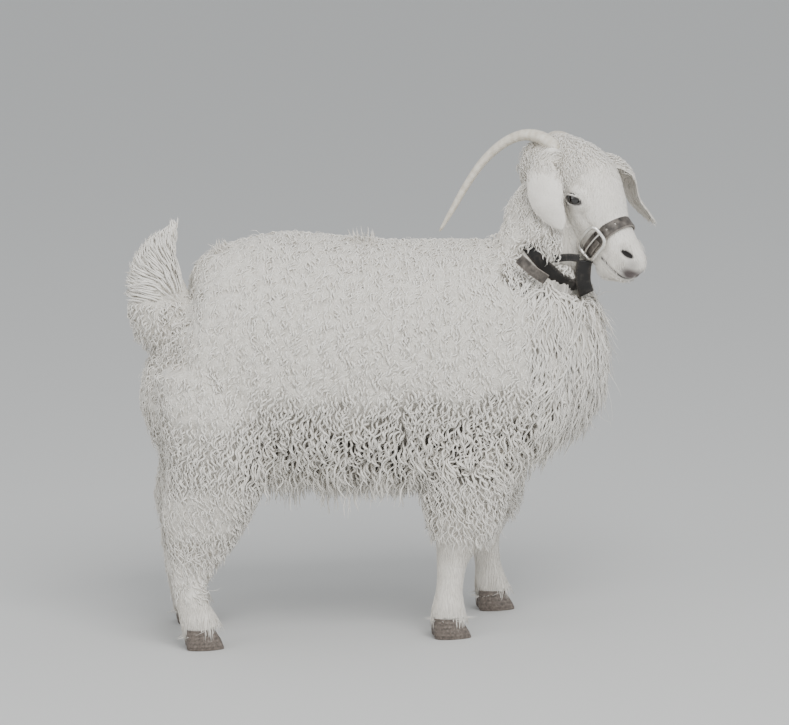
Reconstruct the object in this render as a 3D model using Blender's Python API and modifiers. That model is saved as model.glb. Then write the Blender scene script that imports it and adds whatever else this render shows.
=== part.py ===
"""Angora doe standing in a leather halter: a life-size model for display, as closed solids.

Metres. +Z is up, +X runs from rump to chest, +Y is the goat's left. The claws stand on z = 0.
The coat is modelled out to its tips. A core follows the body half way out through the fleece,
rounded clumps and tapered locks grow from that core, and the whole goat is then parted with
thin cuts into the pieces that a person would name.
"""

import math

import bmesh
import bpy
import numpy as np
from mathutils import Matrix, Vector
from mathutils.bvhtree import BVHTree

# Driving dimensions
GAP = 0.0003  # clearance that touching pieces keep
CORE_SHARE = 0.5  # how far down through the coat the core lies under the clumps
SEED = 11
PLAIN_COAT = False

# The middle of the model's box, as measured in the goat's own drawing, which becomes x = y = 0
DRAWING_CENTRE = (-0.0030, 0.0044)

# Each station: centre x, y, z, half width to the side, half height up, half height down, coat depth.
# "Up" is T x side: the back of the torso, the nape of the neck, the front of a leg.
TORSO = (
    (-0.382, 0, 0.455, 0.020, 0.040, 0.050, 0.040),
    (-0.371, 0, 0.450, 0.072, 0.094, 0.098, 0.040),
    (-0.338, 0, 0.440, 0.124, 0.149, 0.142, 0.043),
    (-0.280, 0, 0.435, 0.150, 0.190, 0.162, 0.045),
    (-0.190, 0, 0.430, 0.165, 0.219, 0.176, 0.047),
    (-0.080, 0, 0.425, 0.175, 0.213, 0.190, 0.050),
    (0.030, 0, 0.425, 0.176, 0.204, 0.194, 0.050),
    (0.120, 0, 0.430, 0.165, 0.198, 0.186, 0.048),
    (0.195, 0, 0.435, 0.148, 0.186, 0.176, 0.048),
    (0.265, 0, 0.435, 0.118, 0.150, 0.145, 0.050),
    (0.318, 0, 0.430, 0.078, 0.098, 0.095, 0.050),
    (0.340, 0, 0.430, 0.026, 0.040, 0.040, 0.050),
)
NECK = (
    (0.150, 0.000, 0.430, 0.120, 0.120, 0.110, 0.048),
    (0.205, 0.000, 0.505, 0.118, 0.128, 0.132, 0.048),
    (0.240, -0.006, 0.570, 0.094, 0.100, 0.090, 0.044),
    (0.254, -0.012, 0.625, 0.076, 0.086, 0.064, 0.036),
    (0.260, -0.010, 0.675, 0.068, 0.074, 0.056, 0.028),
    (0.262, -0.004, 0.715, 0.056, 0.048, 0.048, 0.022),
    (0.258, 0.000, 0.735, 0.028, 0.026, 0.026, 0.020),
)
TAIL = (
    (-0.318, 0, 0.490, 0.038, 0.050, 0.040, 0.022),
    (-0.360, 0, 0.532, 0.042, 0.060, 0.042, 0.022),
    (-0.374, 0, 0.582, 0.033, 0.046, 0.040, 0.022),
    (-0.366, 0, 0.620, 0.024, 0.032, 0.026, 0.018),
    (-0.352, 0, 0.650, 0.013, 0.014, 0.012, 0.010),
    (-0.344, 0, 0.668, 0.004, 0.004, 0.004, 0.002),
)
# A leg's stations give x and z, and the half width, front and back; its y comes from the stance.
HIND_LEG = (
    (-0.285, 0.440, 0.060, 0.080, 0.095, 0.040),
    (-0.287, 0.380, 0.074, 0.098, 0.098, 0.042),
    (-0.292, 0.310, 0.072, 0.088, 0.088, 0.040),
    (-0.302, 0.250, 0.062, 0.076, 0.078, 0.034),
    (-0.318, 0.195, 0.048, 0.060, 0.070, 0.026),
    (-0.333, 0.150, 0.036, 0.044, 0.046, 0.016),
    (-0.340, 0.108, 0.026, 0.028, 0.032, 0.008),
    (-0.338, 0.070, 0.025, 0.026, 0.028, 0.007),
    (-0.330, 0.045, 0.028, 0.030, 0.032, 0.007),
    (-0.325, 0.030, 0.028, 0.032, 0.032, 0.005),
)
FORE_LEG = (
    (0.105, 0.400, 0.060, 0.080, 0.085, 0.040),
    (0.102, 0.330, 0.066, 0.084, 0.086, 0.040),
    (0.096, 0.265, 0.060, 0.080, 0.080, 0.036),
    (0.090, 0.205, 0.052, 0.066, 0.068, 0.030),
    (0.082, 0.158, 0.038, 0.042, 0.042, 0.018),
    (0.074, 0.122, 0.026, 0.026, 0.027, 0.008),
    (0.070, 0.080, 0.023, 0.022, 0.023, 0.006),
    (0.069, 0.052, 0.026, 0.026, 0.028, 0.006),
    (0.069, 0.030, 0.027, 0.031, 0.031, 0.005),
)
# Where each foot stands, and how far its top sits from the drawn leg's
STANCE = {
    "hind_right": {"drawn": HIND_LEG, "foot": (0.000, -0.094), "top": (0.0, -0.082)},
    "hind_left": {"drawn": HIND_LEG, "foot": (0.000, 0.096), "top": (0.0, 0.082)},
    "fore_right": {"drawn": FORE_LEG, "foot": (0.000, -0.094), "top": (0.010, -0.082)},
    "fore_left": {"drawn": FORE_LEG, "foot": (0.099, 0.096), "top": (0.030, 0.082)},
}
LEG_CUT = 0.0335  # height of the coronet, where hair gives way to the claws
CLAW_TOP = LEG_CUT - GAP

# The head's own axes: s along the face from the poll, l to its left, u up off the face.
POLL = (0.278, -0.020, 0.770)
HEAD_TURN = math.radians(47)  # turned to its right, towards the viewer
HEAD_DROP = math.radians(48)  # the face line below level
# Each station: s, top u, bottom u, widest u, half width, jaw taper, coat depth
HEAD = (
    (-0.040, -0.044, -0.080, -0.060, 0.016, 0.2, 0.012),
    (-0.033, -0.026, -0.098, -0.056, 0.034, 0.2, 0.014),
    (-0.016, -0.004, -0.110, -0.050, 0.046, 0.2, 0.016),
    (0.010, 0.021, -0.115, -0.040, 0.053, 0.3, 0.016),
    (0.045, 0.042, -0.112, -0.030, 0.055, 0.35, 0.016),
    (0.082, 0.048, -0.105, -0.020, 0.053, 0.4, 0.008),
    (0.118, 0.032, -0.095, -0.018, 0.043, 0.35, 0.002),
    (0.150, 0.013, -0.087, -0.020, 0.034, 0.25, 0.001),
    (0.178, 0.006, -0.082, -0.023, 0.029, 0.1, 0.001),
    (0.203, 0.002, -0.083, -0.027, 0.0285, 0.05, 0.001),
    (0.220, -0.002, -0.073, -0.030, 0.026, 0.0, 0.001),
    (0.232, -0.011, -0.060, -0.033, 0.018, 0.0, 0.001),
    (0.236, -0.023, -0.047, -0.034, 0.008, 0.0, 0.001),
)


def spline(knots, values, at):
    """A curve through the values at the knots: cubic pieces whose slopes come from the neighbours."""
    knots = np.asarray(knots, float)
    values = np.asarray(values, float)
    slopes = np.gradient(values, knots, axis=0)
    i = np.clip(np.searchsorted(knots, at, side="right") - 1, 0, len(knots) - 2)
    width = (knots[i + 1] - knots[i])[:, None]
    t = ((at - knots[i]) / width[:, 0])[:, None]
    before, after = values[i], values[i + 1]
    return (
        before * (2 * t**3 - 3 * t**2 + 1)
        + slopes[i] * width * (t**3 - 2 * t**2 + t)
        + after * (3 * t**2 - 2 * t**3)
        + slopes[i + 1] * width * (t**3 - t**2)
    )


def unit(v):
    return v / np.linalg.norm(v, axis=-1, keepdims=True)


def section(angles, side, up, down, power, taper):
    """A closed outline: an ellipse squared off by power, its lower half narrowed by taper."""
    c, s = np.cos(angles), np.sin(angles)
    across = side * np.sign(c) * np.abs(c) ** (2 / power)
    across = across * (1 - taper * np.clip(-s, 0, 1))
    height = np.where(s > 0, up, down) * np.sign(s) * np.abs(s) ** (2 / power)
    return across, height


def loft_points(stations, share, rows, around, power=2.2, ends=True):
    """Rings of points along the stations, share of the coat's depth in from the tips.

    With ends, the two ends of the path draw in by the same depth.
    """
    table = np.asarray(stations, float)
    knots = np.arange(len(table))
    at = spline(knots, table, np.linspace(0, len(table) - 1, rows))
    centre, coat = at[:, :3], at[:, 6] * share
    taper = at[:, 7] if at.shape[1] > 7 else np.zeros(rows)
    if ends:
        middle = centre.mean(axis=0)
        reach = np.linalg.norm(centre - middle, axis=1)
        pull = 1 - coat.max() / reach.max() * np.clip(reach / reach.max(), 0, 1) ** 4
        centre = middle + (centre - middle) * pull[:, None]
    along = unit(np.gradient(centre, axis=0))
    left = np.array([0.0, 1.0, 0.0])
    side = unit(left - along * (along @ left)[:, None])
    up = np.cross(along, side)
    angles = np.linspace(0, 2 * math.pi, around, endpoint=False)
    rings = []
    for i in range(rows):
        sizes = np.maximum(at[i, 3:6] - coat[i], 0.15 * at[i, 3:6])
        across, height = section(angles, *sizes, power, taper[i])
        rings.append(centre[i] + across[:, None] * side[i] + height[:, None] * up[i])
    return np.array(rings)


def new_object(name, mesh, collection):
    obj = bpy.data.objects.new(name, mesh)
    collection.objects.link(obj)
    return obj


def collection_of(name, helper=False):
    made = bpy.data.collections.new(name)
    bpy.context.scene.collection.children.link(made)
    made.hide_render = helper
    return made


def skin_rings(name, rings, collection, closed=False):
    """Skins rings of points with quads, and closes each end with a fan to its centre."""
    rows, around = rings.shape[:2]
    points = list(map(tuple, rings.reshape(-1, 3)))
    faces = []
    for i in range(rows if closed else rows - 1):
        a, b = i * around, ((i + 1) % rows) * around
        for j in range(around):
            k = (j + 1) % around
            faces.append((a + j, a + k, b + k, b + j))
    if not closed:
        for row, turn in ((0, -1), (rows - 1, 1)):
            hub = len(points)
            points.append(tuple(rings[row].mean(axis=0)))
            for j in range(around):
                edge = (row * around + j, row * around + (j + 1) % around)[::turn]
                faces.append((hub, *edge))
    mesh = bpy.data.meshes.new(name)
    mesh.from_pydata(points, [], faces)
    facing_out(mesh)
    return new_object(name, mesh, collection)


def facing_out(mesh):
    shape = bmesh.new()
    shape.from_mesh(mesh)
    bmesh.ops.recalc_face_normals(shape, faces=shape.faces)
    bmesh.ops.triangulate(shape, faces=shape.faces)
    if shape.calc_volume(signed=True) < 0:
        bmesh.ops.reverse_faces(shape, faces=shape.faces)
    shape.to_mesh(mesh)
    shape.free()


def leg_stations(stance):
    """The drawn leg, its foot and top moved to where this leg stands."""
    drawn = stance["drawn"]
    top_z, foot_z = drawn[0][1], drawn[-1][1]
    stations = []
    for x, z, side, front, back, coat in drawn:
        down = (top_z - z) / (top_z - foot_z)
        shift_x = stance["top"][0] * (1 - down) + stance["foot"][0] * down
        y = stance["top"][1] * (1 - down) + stance["foot"][1] * down
        stations.append((x + shift_x, y, z, side, front, back, coat))
    return stations


def head_matrix():
    """From the head's own axes (s, l, u) to the goat's."""
    level = np.array([math.cos(HEAD_TURN), -math.sin(HEAD_TURN), 0.0])
    rise = np.array([0.0, 0.0, 1.0])
    face = level * math.cos(HEAD_DROP) - rise * math.sin(HEAD_DROP)
    brow = level * math.sin(HEAD_DROP) + rise * math.cos(HEAD_DROP)
    left = np.cross(brow, face)
    m = Matrix.Identity(4)
    for row in range(3):
        m[row][0], m[row][1], m[row][2], m[row][3] = face[row], left[row], brow[row], POLL[row]
    return m


HEAD_PLACE = head_matrix()
HEAD_AXES = np.array(HEAD_PLACE)[:3, :3]


def from_head(points):
    """Points (s, l, u) in the goat's frame."""
    return np.asarray(points, float) @ HEAD_AXES.T + np.array(POLL)


def head_rings(share, rows, around):
    stations = [
        (s, 0, wide, half, top - wide, wide - bottom, coat, taper)
        for s, top, bottom, wide, half, taper, coat in HEAD
    ]
    return from_head(loft_points(stations, share, rows, around, 2.15, ends=False))


def ellipsoid(name, centre, radii, collection, turn=None, segments=12, rings=8):
    shape = bmesh.new()
    bmesh.ops.create_uvsphere(shape, u_segments=segments, v_segments=rings, radius=1)
    place = Matrix.Translation(centre) @ (turn or Matrix.Identity(4)) @ Matrix.Diagonal((*radii, 1))
    bmesh.ops.transform(shape, matrix=place, verts=shape.verts)
    mesh = bpy.data.meshes.new(name)
    shape.to_mesh(mesh)
    shape.free()
    return new_object(name, mesh, collection)


def tube(name, points, radii, sides, collection, flat=1.0, across=None, closed=False):
    """A tapering tube through the points: rings square to the path, flattened along across."""
    points = np.asarray(points, float)
    if closed:
        along = unit(np.roll(points, -1, axis=0) - np.roll(points, 1, axis=0))
    else:
        along = unit(np.gradient(points, axis=0))
    hint = np.array([0.0, 0.0, 1.0]) if across is None else np.asarray(across, float)
    hint = np.broadcast_to(hint, points.shape)
    second = unit(hint - along * np.sum(hint * along, axis=1, keepdims=True))
    first = np.cross(along, second)
    angles = np.linspace(0, 2 * math.pi, sides, endpoint=False) + math.pi / sides
    radii = np.broadcast_to(np.asarray(radii, float), len(points))
    rings = (
        points[:, None]
        + radii[:, None, None] * np.cos(angles)[None, :, None] * first[:, None]
        + radii[:, None, None] * flat * np.sin(angles)[None, :, None] * second[:, None]
    )
    return skin_rings(name, rings, collection, closed)


def tree_of(obj):
    points = [obj.matrix_world @ v.co for v in obj.data.vertices]
    return BVHTree.FromPolygons(points, [p.vertices[:] for p in obj.data.polygons])


def combined(name, base, operation, helpers, collection):
    """base joined with, or cut by, every closed mesh of the helpers' collection, then settled."""
    modifier = base.modifiers.new(operation.title(), "BOOLEAN")
    modifier.operation = operation
    modifier.solver = "MANIFOLD"
    modifier.operand_type = "COLLECTION"
    modifier.collection = helpers
    graph = bpy.context.evaluated_depsgraph_get()
    mesh = bpy.data.meshes.new_from_object(base.evaluated_get(graph))
    mesh.name = name
    for obj in list(helpers.objects) + [base]:
        if obj.name in bpy.data.objects:
            bpy.data.objects.remove(obj)
    bpy.data.collections.remove(helpers)
    largest_shell(mesh)
    return new_object(name, mesh, collection)


def largest_shell(mesh):
    """Keeps the one closed surface that holds the most, and drops scraps and sealed hollows."""
    shape = bmesh.new()
    shape.from_mesh(mesh)
    bmesh.ops.triangulate(shape, faces=shape.faces)
    left, shells = set(shape.faces), []
    while left:
        seed = left.pop()
        shell, front = [seed], [seed]
        while front:
            face = front.pop()
            for edge in face.edges:
                for other in edge.link_faces:
                    if other in left:
                        left.discard(other)
                        shell.append(other)
                        front.append(other)
        shells.append(shell)

    def held(shell):
        total = 0.0
        for face in shell:
            a, b, c = (v.co for v in face.verts)
            total += a.dot(b.cross(c))
        return total

    shells.sort(key=held, reverse=True)
    for shell in shells[1:]:
        bmesh.ops.delete(shape, geom=shell, context="FACES")
    loose = [v for v in shape.verts if not v.link_faces]
    bmesh.ops.delete(shape, geom=loose, context="VERTS")
    shape.to_mesh(mesh)
    shape.free()


def duplicate(obj, name, collection):
    return new_object(name, obj.data.copy(), collection)


def fattened(obj, collection, by=GAP * 1.35):
    """A copy swollen along its normals, to cut the room that a piece needs in its neighbour."""
    copy = duplicate(obj, obj.name + "_room", collection)
    shape = bmesh.new()
    shape.from_mesh(copy.data)
    shape.normal_update()
    moved = [v.co + v.normal * by * v.calc_shell_factor() for v in shape.verts]
    for vert, place in zip(shape.verts, moved):
        vert.co = place
    shape.to_mesh(copy.data)
    shape.free()
    return copy


def box_region(name, corner, axes, low, high, grow, collection):
    """A box given by its limits along three axes through a corner, grown on every side."""
    shape = bmesh.new()
    bmesh.ops.create_cube(shape, size=1)
    low, high = np.array(low) - grow, np.array(high) + grow
    turn = Matrix([list(axis) for axis in axes]).transposed().to_4x4()
    middle, size = (low + high) / 2, high - low
    place = Matrix.Translation(corner) @ turn @ Matrix.Translation(middle) @ Matrix.Diagonal((*size, 1))
    bmesh.ops.transform(shape, matrix=place, verts=shape.verts)
    mesh = bpy.data.meshes.new(name)
    shape.to_mesh(mesh)
    shape.free()
    facing_out(mesh)
    return new_object(name, mesh, collection)


# Eyes: centre in the head's axes (for the left one), where they look, and their openings
EYE_CENTRE = (0.0885, 0.0400, -0.0145)
EYE_LOOK = (0.34, 0.93, 0.14)
EYE_RADIUS = 0.0145
EYE_SLANT = math.radians(33)  # the front corner sits higher off the line of the face
LID_LENGTH = 0.0125
LID_HEIGHT = 0.0070
LID_RADIUS = 0.0021
ORBIT_CENTRE = (0.0885, 0.0355, -0.0105)
ORBIT_RADII = (0.033, 0.0165, 0.0240)

NOSTRIL_CENTRE = (0.2095, 0.0235, -0.0085)
NOSTRIL_RADII = (0.0110, 0.0060, 0.0030)
NOSTRIL_TURN = math.radians(-24)  # the slits close in towards the lip
NOSTRIL_RISE = math.radians(-15)
MOUTH_CORNER = (0.190, 0.029, -0.0480)
MOUTH_FRONT = (0.236, 0.000, -0.0410)
MOUTH_GROOVE = 0.0016
LIP_RADIUS = 0.0040
LIP_RISE = 0.0052  # each lip's middle, off the line of the mouth


def mirrored(point, side):
    """A point given for the left side, on the side asked for: +1 left, -1 right."""
    return (point[0], point[1] * side, point[2])


def eye_frame(side):
    """The eye's centre and its axes in the goat's frame: out of the head, along the lids, up."""
    look = unit(np.array(mirrored(EYE_LOOK, side)))
    along = np.array([math.cos(EYE_SLANT), 0.0, math.sin(EYE_SLANT)])
    along = unit(along - look * (along @ look))
    rise = np.cross(along, look) * -side
    rise = rise if rise[2] > 0 else -rise
    axes = np.array([look, along, rise]) @ HEAD_AXES.T
    return from_head(mirrored(EYE_CENTRE, side)), axes


def lid_loop(side, count, lift):
    """Points round the eye's opening, on a ball lift outside the eye: an almond of named size."""
    centre, (look, along, rise) = eye_frame(side)
    angles = np.linspace(0, 2 * math.pi, count, endpoint=False)
    out = (
        look[None]
        + np.cos(angles)[:, None] * LID_LENGTH / EYE_RADIUS * 1.15 * along[None]
        + (np.sin(angles) * np.abs(np.sin(angles)) ** 0.12)[:, None]
        * LID_HEIGHT / EYE_RADIUS * 1.1 * rise[None]
    )
    return centre + unit(out) * (EYE_RADIUS + lift)


def mouth_line(surface, count, rise, depth):
    """Points round the muzzle from one corner of the mouth to the other, depth under the skin."""
    corner, front = np.array(MOUTH_CORNER), np.array(MOUTH_FRONT)
    points = []
    for turn in np.linspace(-1, 1, count):
        forward = 1 - turn**2
        height = corner[2] + (front[2] - corner[2]) * forward + rise
        hub = np.array([corner[0] - 0.004, 0.0, height])
        angle = turn * math.radians(92)
        heading = np.array([math.cos(angle), math.sin(angle), 0.0])
        start = from_head(hub)
        hit = surface.ray_cast(Vector(start), Vector(HEAD_AXES @ heading))[0]
        points.append(np.array(hit) - depth * (HEAD_AXES @ heading))
    return points


def head_with_face(share, rows, around):
    """The head: one loft with orbits and lips, then nostrils, the mouth and the eyes' openings."""
    scratch = collection_of("head_pieces", helper=True)
    base = skin_rings("head_base", head_rings(share, rows, around), scratch)
    surface = tree_of(base)
    scratch.objects.unlink(base)
    bpy.context.scene.collection.objects.link(base)
    turn = HEAD_PLACE.to_3x3().to_4x4()
    for side in (-1, 1):
        centre = from_head(mirrored(ORBIT_CENTRE, side))
        ellipsoid(f"orbit_{side}", centre, ORBIT_RADII, scratch, turn, 14, 9)
    for name, rise in (("upper_lip", LIP_RISE), ("lower_lip", -LIP_RISE)):
        line = mouth_line(surface, 15, rise, 0.5 * LIP_RADIUS)
        radii = LIP_RADIUS * np.sin(np.linspace(0.25, math.pi - 0.25, 15)) ** 0.5
        tube(name, line, radii, 6, scratch)
    head = combined("head_lipped", base, "UNION", scratch, bpy.context.scene.collection)

    cuts = collection_of("head_cuts", helper=True)
    tube("mouth", mouth_line(tree_of(head), 17, 0.0, 0.0), MOUTH_GROOVE, 6, cuts)
    for side in (-1, 1):
        slant = turn @ Matrix.Rotation(NOSTRIL_TURN * side, 4, "Z")
        slant = slant @ Matrix.Rotation(NOSTRIL_RISE, 4, "Y")
        centre = from_head(mirrored(NOSTRIL_CENTRE, side))
        ellipsoid(f"nostril_{side}", centre, NOSTRIL_RADII, cuts, slant, 8, 6)
        eye, (look, along, rise) = eye_frame(side)
        opening = Matrix([list(along), list(rise), list(look)]).transposed().to_4x4()
        radii = (LID_LENGTH, LID_HEIGHT, 0.011)
        ellipsoid(f"opening_{side}", eye + look * (EYE_RADIUS + 0.002), radii, cuts, opening, 12, 6)
    head = combined("head_cut", head, "DIFFERENCE", cuts, bpy.context.scene.collection)

    lids = collection_of("lid_pieces", helper=True)
    for side in (-1, 1):
        tube(f"lids_{side}", lid_loop(side, 13, 0.0012), LID_RADIUS, 5, lids, closed=True)
    return combined("head_lidded", head, "UNION", lids, bpy.context.scene.collection)


def eye_ball(side, name, collection):
    return ellipsoid(name, eye_frame(side)[0], (EYE_RADIUS,) * 3, collection, None, 14, 9)


# Horns: for each station, how far back, outward and up from the base, and the radius
HORN_BASE = (-0.004, 0.0240, -0.004)
HORN = (
    (-0.008, -0.003, -0.016, 0.0145),
    (0.000, 0.000, 0.000, 0.0142),
    (0.022, 0.006, 0.015, 0.0125),
    (0.050, 0.016, 0.018, 0.0110),
    (0.080, 0.030, 0.004, 0.0096),
    (0.108, 0.046, -0.025, 0.0085),
    (0.130, 0.061, -0.062, 0.0074),
    (0.149, 0.075, -0.102, 0.0058),
    (0.165, 0.088, -0.136, 0.0026),
)
HORN_FLAT = 0.80
HORN_LEFT_DROP = 0.011  # the left horn's arch rises less than the right one's


def horn(side, name, rows, sides, collection):
    """A horn sweeping back and out: a tapered tube, ringed by shallow growth ridges."""
    table = np.array(HORN)
    at = spline(np.arange(len(table)), table, np.linspace(0, len(table) - 1, rows))
    level = np.array([math.cos(HEAD_TURN), -math.sin(HEAD_TURN), 0.0])
    left = np.array([-level[1], level[0], 0.0])
    base = from_head(mirrored(HORN_BASE, side))
    if side > 0:
        at[:, 2] -= HORN_LEFT_DROP * np.sin(np.linspace(0, math.pi, rows))
    points = (
        base
        - at[:, :1] * level
        + side * at[:, 1:2] * left
        + at[:, 2:3] * np.array([0.0, 0.0, 1.0])
    )
    ridge = 1 + 0.045 * np.where(np.arange(rows) % 2, 1, -1) * np.linspace(1, 0.2, rows)
    return tube(name, points, at[:, 3] * ridge, sides, collection, flat=HORN_FLAT)


# Ears: root, bends and tip in the goat's frame, the way the hollow side faces, and half widths
EARS = {
    "ear_right": {
        "path": (
            (0.266, -0.052, 0.743),
            (0.246, -0.070, 0.751),
            (0.2310, -0.087, 0.724),
            (0.2345, -0.098, 0.687),
            (0.2580, -0.097, 0.6475),
        ),
        "hollow": (0.30, 0.93, 0.10),
        "half_width": (0.014, 0.022, 0.028, 0.030, 0.030, 0.025, 0.011),
    },
    "ear_left": {
        "path": (
            (0.318, 0.004, 0.738),
            (0.350, 0.013, 0.744),
            (0.384, 0.024, 0.722),
            (0.399, 0.028, 0.678),
            (0.4270, 0.026, 0.6380),
        ),
        "hollow": (-0.60, -0.26, -0.60),
        "half_width": (0.014, 0.022, 0.030, 0.029, 0.024, 0.019, 0.009),
    },
}
EAR_THICK = 0.0036
EAR_CURL = (1.45, 1.2, 0.9, 0.72, 0.6, 0.5, 0.4)  # radians from the midrib to each edge


def ear(name, rows, columns, collection):
    """A drooping leaf, rolled at its root and opening towards its tip, thickened on both sides."""
    path = np.array(EARS[name]["path"])
    t = np.linspace(0, 1, rows)
    middle = spline(np.linspace(0, 1, len(path)), path, t)
    along = unit(np.gradient(middle, axis=0))
    hollow = np.array(EARS[name]["hollow"])
    hollow = unit(hollow - along * (along @ hollow)[:, None])
    across = np.cross(along, hollow)
    knots = np.linspace(0, 1, len(EAR_CURL))
    shape = spline(knots, np.array([EARS[name]["half_width"], EAR_CURL]).T, t)
    w = np.linspace(-1, 1, columns)
    radius = (shape[:, 0] / shape[:, 1])[:, None]
    angle = w[None, :] * shape[:, 1:2]
    points = (
        middle[:, None]
        + (radius * np.sin(angle))[..., None] * across[:, None]
        + (radius * (1 - np.cos(angle)))[..., None] * hollow[:, None]
    )
    faces = [
        (i * columns + j, i * columns + j + 1, (i + 1) * columns + j + 1, (i + 1) * columns + j)
        for i in range(rows - 1)
        for j in range(columns - 1)
    ]
    mesh = bpy.data.meshes.new(name)
    mesh.from_pydata(list(map(tuple, points.reshape(-1, 3))), [], faces)
    sheet = new_object(name + "_sheet", mesh, collection)
    thick = sheet.modifiers.new("Thickness", "SOLIDIFY")
    thick.thickness = EAR_THICK
    thick.offset = 0
    graph = bpy.context.evaluated_depsgraph_get()
    solid = bpy.data.meshes.new_from_object(sheet.evaluated_get(graph))
    bpy.data.objects.remove(sheet)
    facing_out(solid)
    return new_object(name, solid, collection)


# Claws: each station's height, the toe and heel from the foot's middle, and half the width
CLAW = (
    (0.0, 0.034, -0.026, 0.0120),
    (0.010, 0.030, -0.027, 0.0130),
    (CLAW_TOP, 0.016, -0.026, 0.0115),
)
CLAW_APART = 0.0137  # each claw's middle from the foot's middle


def claw(stance, side, name, collection):
    """One half of a cloven hoof: a flat-soled wedge, flat on its inner side."""
    foot_x = stance["drawn"][-1][0] + stance["foot"][0]
    foot_y = stance["foot"][1] + side * CLAW_APART
    angles = np.linspace(0, 2 * math.pi, 12, endpoint=False)
    rings = []
    for z, toe, heel, half in CLAW:
        c, s = np.cos(angles), np.sin(angles)
        x = (toe + heel) / 2 + (toe - heel) / 2 * np.sign(c) * np.abs(c) ** 0.85
        bulge = np.where(s * side > 0, 1.15, 0.85)
        y = half * bulge * np.sign(s) * np.abs(s) ** 0.8 * (1 - 0.35 * np.clip(c, 0, 1))
        rings.append(np.stack([foot_x + x, foot_y + y, np.full_like(x, z)], 1))
    return skin_rings(name, np.array(rings), collection)


# The halter
STRAP = 0.0034
NOSEBAND_S = 0.1590
NOSEBAND_HUB = (NOSEBAND_S, 0.0, -0.032)
NOSEBAND_WIDTH = 0.024
NOSEBAND_SINK = -0.0010
BUCKLE_ANGLE = math.radians(195)  # round the muzzle from its left, over the bridge
BUCKLE_HALF_ANGLE = 0.66
BUCKLE_HALF_WIDTH = 0.0175
BUCKLE_WIRE = 0.0023
COLLAR_HUB = (0.2525, -0.015, 0.6085)
COLLAR_AXIS = (0.616, -0.435, 0.657)  # along the neck, through the loop
COLLAR_DOWN = (0.665, -0.160, -0.729)  # from the nape to the throat
COLLAR_WIDTH = 0.022
COLLAR_SINK = -0.0010  # its inner side lies a little way into the core


def muzzle_points(surface, angles, along, lift):
    """Points round the muzzle at distances along from the noseband's middle, lift off the skin."""
    points = []
    for angle, s in zip(angles, along):
        heading = HEAD_AXES @ np.array([0.0, math.cos(angle), math.sin(angle)])
        start = from_head(np.array(NOSEBAND_HUB) + (s, 0, 0))
        hit = surface.ray_cast(Vector(start), Vector(heading))
        points.append(np.array(hit[0]) + lift * heading)
    return np.array(points)


def band(name, inner, outer, width_axis, width, collection, closed):
    """A flat strap: at each point, four corners from its inner and outer lines and its width."""
    half = np.asarray(width_axis, float) * width / 2
    rings = np.stack([inner - half, outer - half, outer + half, inner + half], axis=1)
    return skin_rings(name, rings, collection, closed)


def noseband(surface, collection):
    angles = np.linspace(0, 2 * math.pi, 28, endpoint=False)
    flat = np.zeros_like(angles)
    inner = muzzle_points(surface, angles, flat, NOSEBAND_SINK)
    outer = muzzle_points(surface, angles, flat, NOSEBAND_SINK + STRAP)
    return band("halter_noseband", inner, outer, HEAD_AXES[:, 0], NOSEBAND_WIDTH, collection, True)


def strap_end(surface, collection):
    """The noseband's free end, laid over it through the buckle."""
    angles = np.linspace(BUCKLE_ANGLE - 0.36, BUCKLE_ANGLE + 0.52, 7)
    flat = np.zeros_like(angles)
    low = NOSEBAND_SINK + STRAP + 0.0010
    inner = muzzle_points(surface, angles, flat, low)
    outer = muzzle_points(surface, angles, flat, low + STRAP * 0.8)
    return band("halter_strap_end", inner, outer, HEAD_AXES[:, 0], 0.020, collection, False)


def buckle(surface, collection):
    """A rounded oblong of wire round the strap, bent to the muzzle."""
    turns = np.linspace(0, 2 * math.pi, 20, endpoint=False)
    c, s = np.cos(turns), np.sin(turns)
    angles = BUCKLE_ANGLE + BUCKLE_HALF_ANGLE * np.sign(c) * np.abs(c) ** 0.5
    along = BUCKLE_HALF_WIDTH * np.sign(s) * np.abs(s) ** 0.5
    points = muzzle_points(surface, angles, along, 0.0086)
    return tube("halter_buckle", points, BUCKLE_WIRE, 6, collection, closed=True)


def collar_axes():
    """The collar's axis, then across its loop from nape to throat and from right to left."""
    axis = unit(np.array(COLLAR_AXIS))
    down = unit(np.array(COLLAR_DOWN) - axis * (axis @ np.array(COLLAR_DOWN)))
    return axis, down, np.cross(axis, down)


def collar_points(surface, angles, lift):
    """Points round the throat in the collar's plane, lift off the core of the coat."""
    axis, down, left = collar_axes()
    hub = np.array(COLLAR_HUB)
    headings = np.cos(angles)[:, None] * down + np.sin(angles)[:, None] * left
    reach = np.array([surface.ray_cast(Vector(hub), Vector(h))[3] for h in headings])
    for _ in range(3):  # the strap is stiff, so it bridges the hollows
        reach = 0.5 * reach + 0.25 * (np.roll(reach, 1) + np.roll(reach, -1))
    return hub + (reach + lift)[:, None] * headings


def collar(surface, collection):
    angles = np.linspace(0, 2 * math.pi, 28, endpoint=False)
    inner = collar_points(surface, angles, COLLAR_SINK)
    outer = collar_points(surface, angles, COLLAR_SINK + STRAP)
    return band("halter_collar", inner, outer, collar_axes()[0], COLLAR_WIDTH, collection, True)


def ribbon(name, middle, facing, width, thickness, collection):
    """A flat strap through the points of its middle, its broad side turned to facing."""
    middle = np.asarray(middle, float)
    at = np.linspace(0, len(middle) - 1, 3 * len(middle) - 2)
    path = spline(np.arange(len(middle)), middle, at)
    along = unit(np.gradient(path, axis=0))
    facing = np.broadcast_to(np.asarray(facing, float), path.shape)
    out = unit(facing - along * np.sum(facing * along, axis=1, keepdims=True))
    across = np.cross(along, out) * width / 2
    skin = out * thickness / 2
    rings = np.stack([path - across - skin, path - across + skin, path + across + skin, path + across - skin], 1)
    return skin_rings(name, rings, collection)


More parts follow.
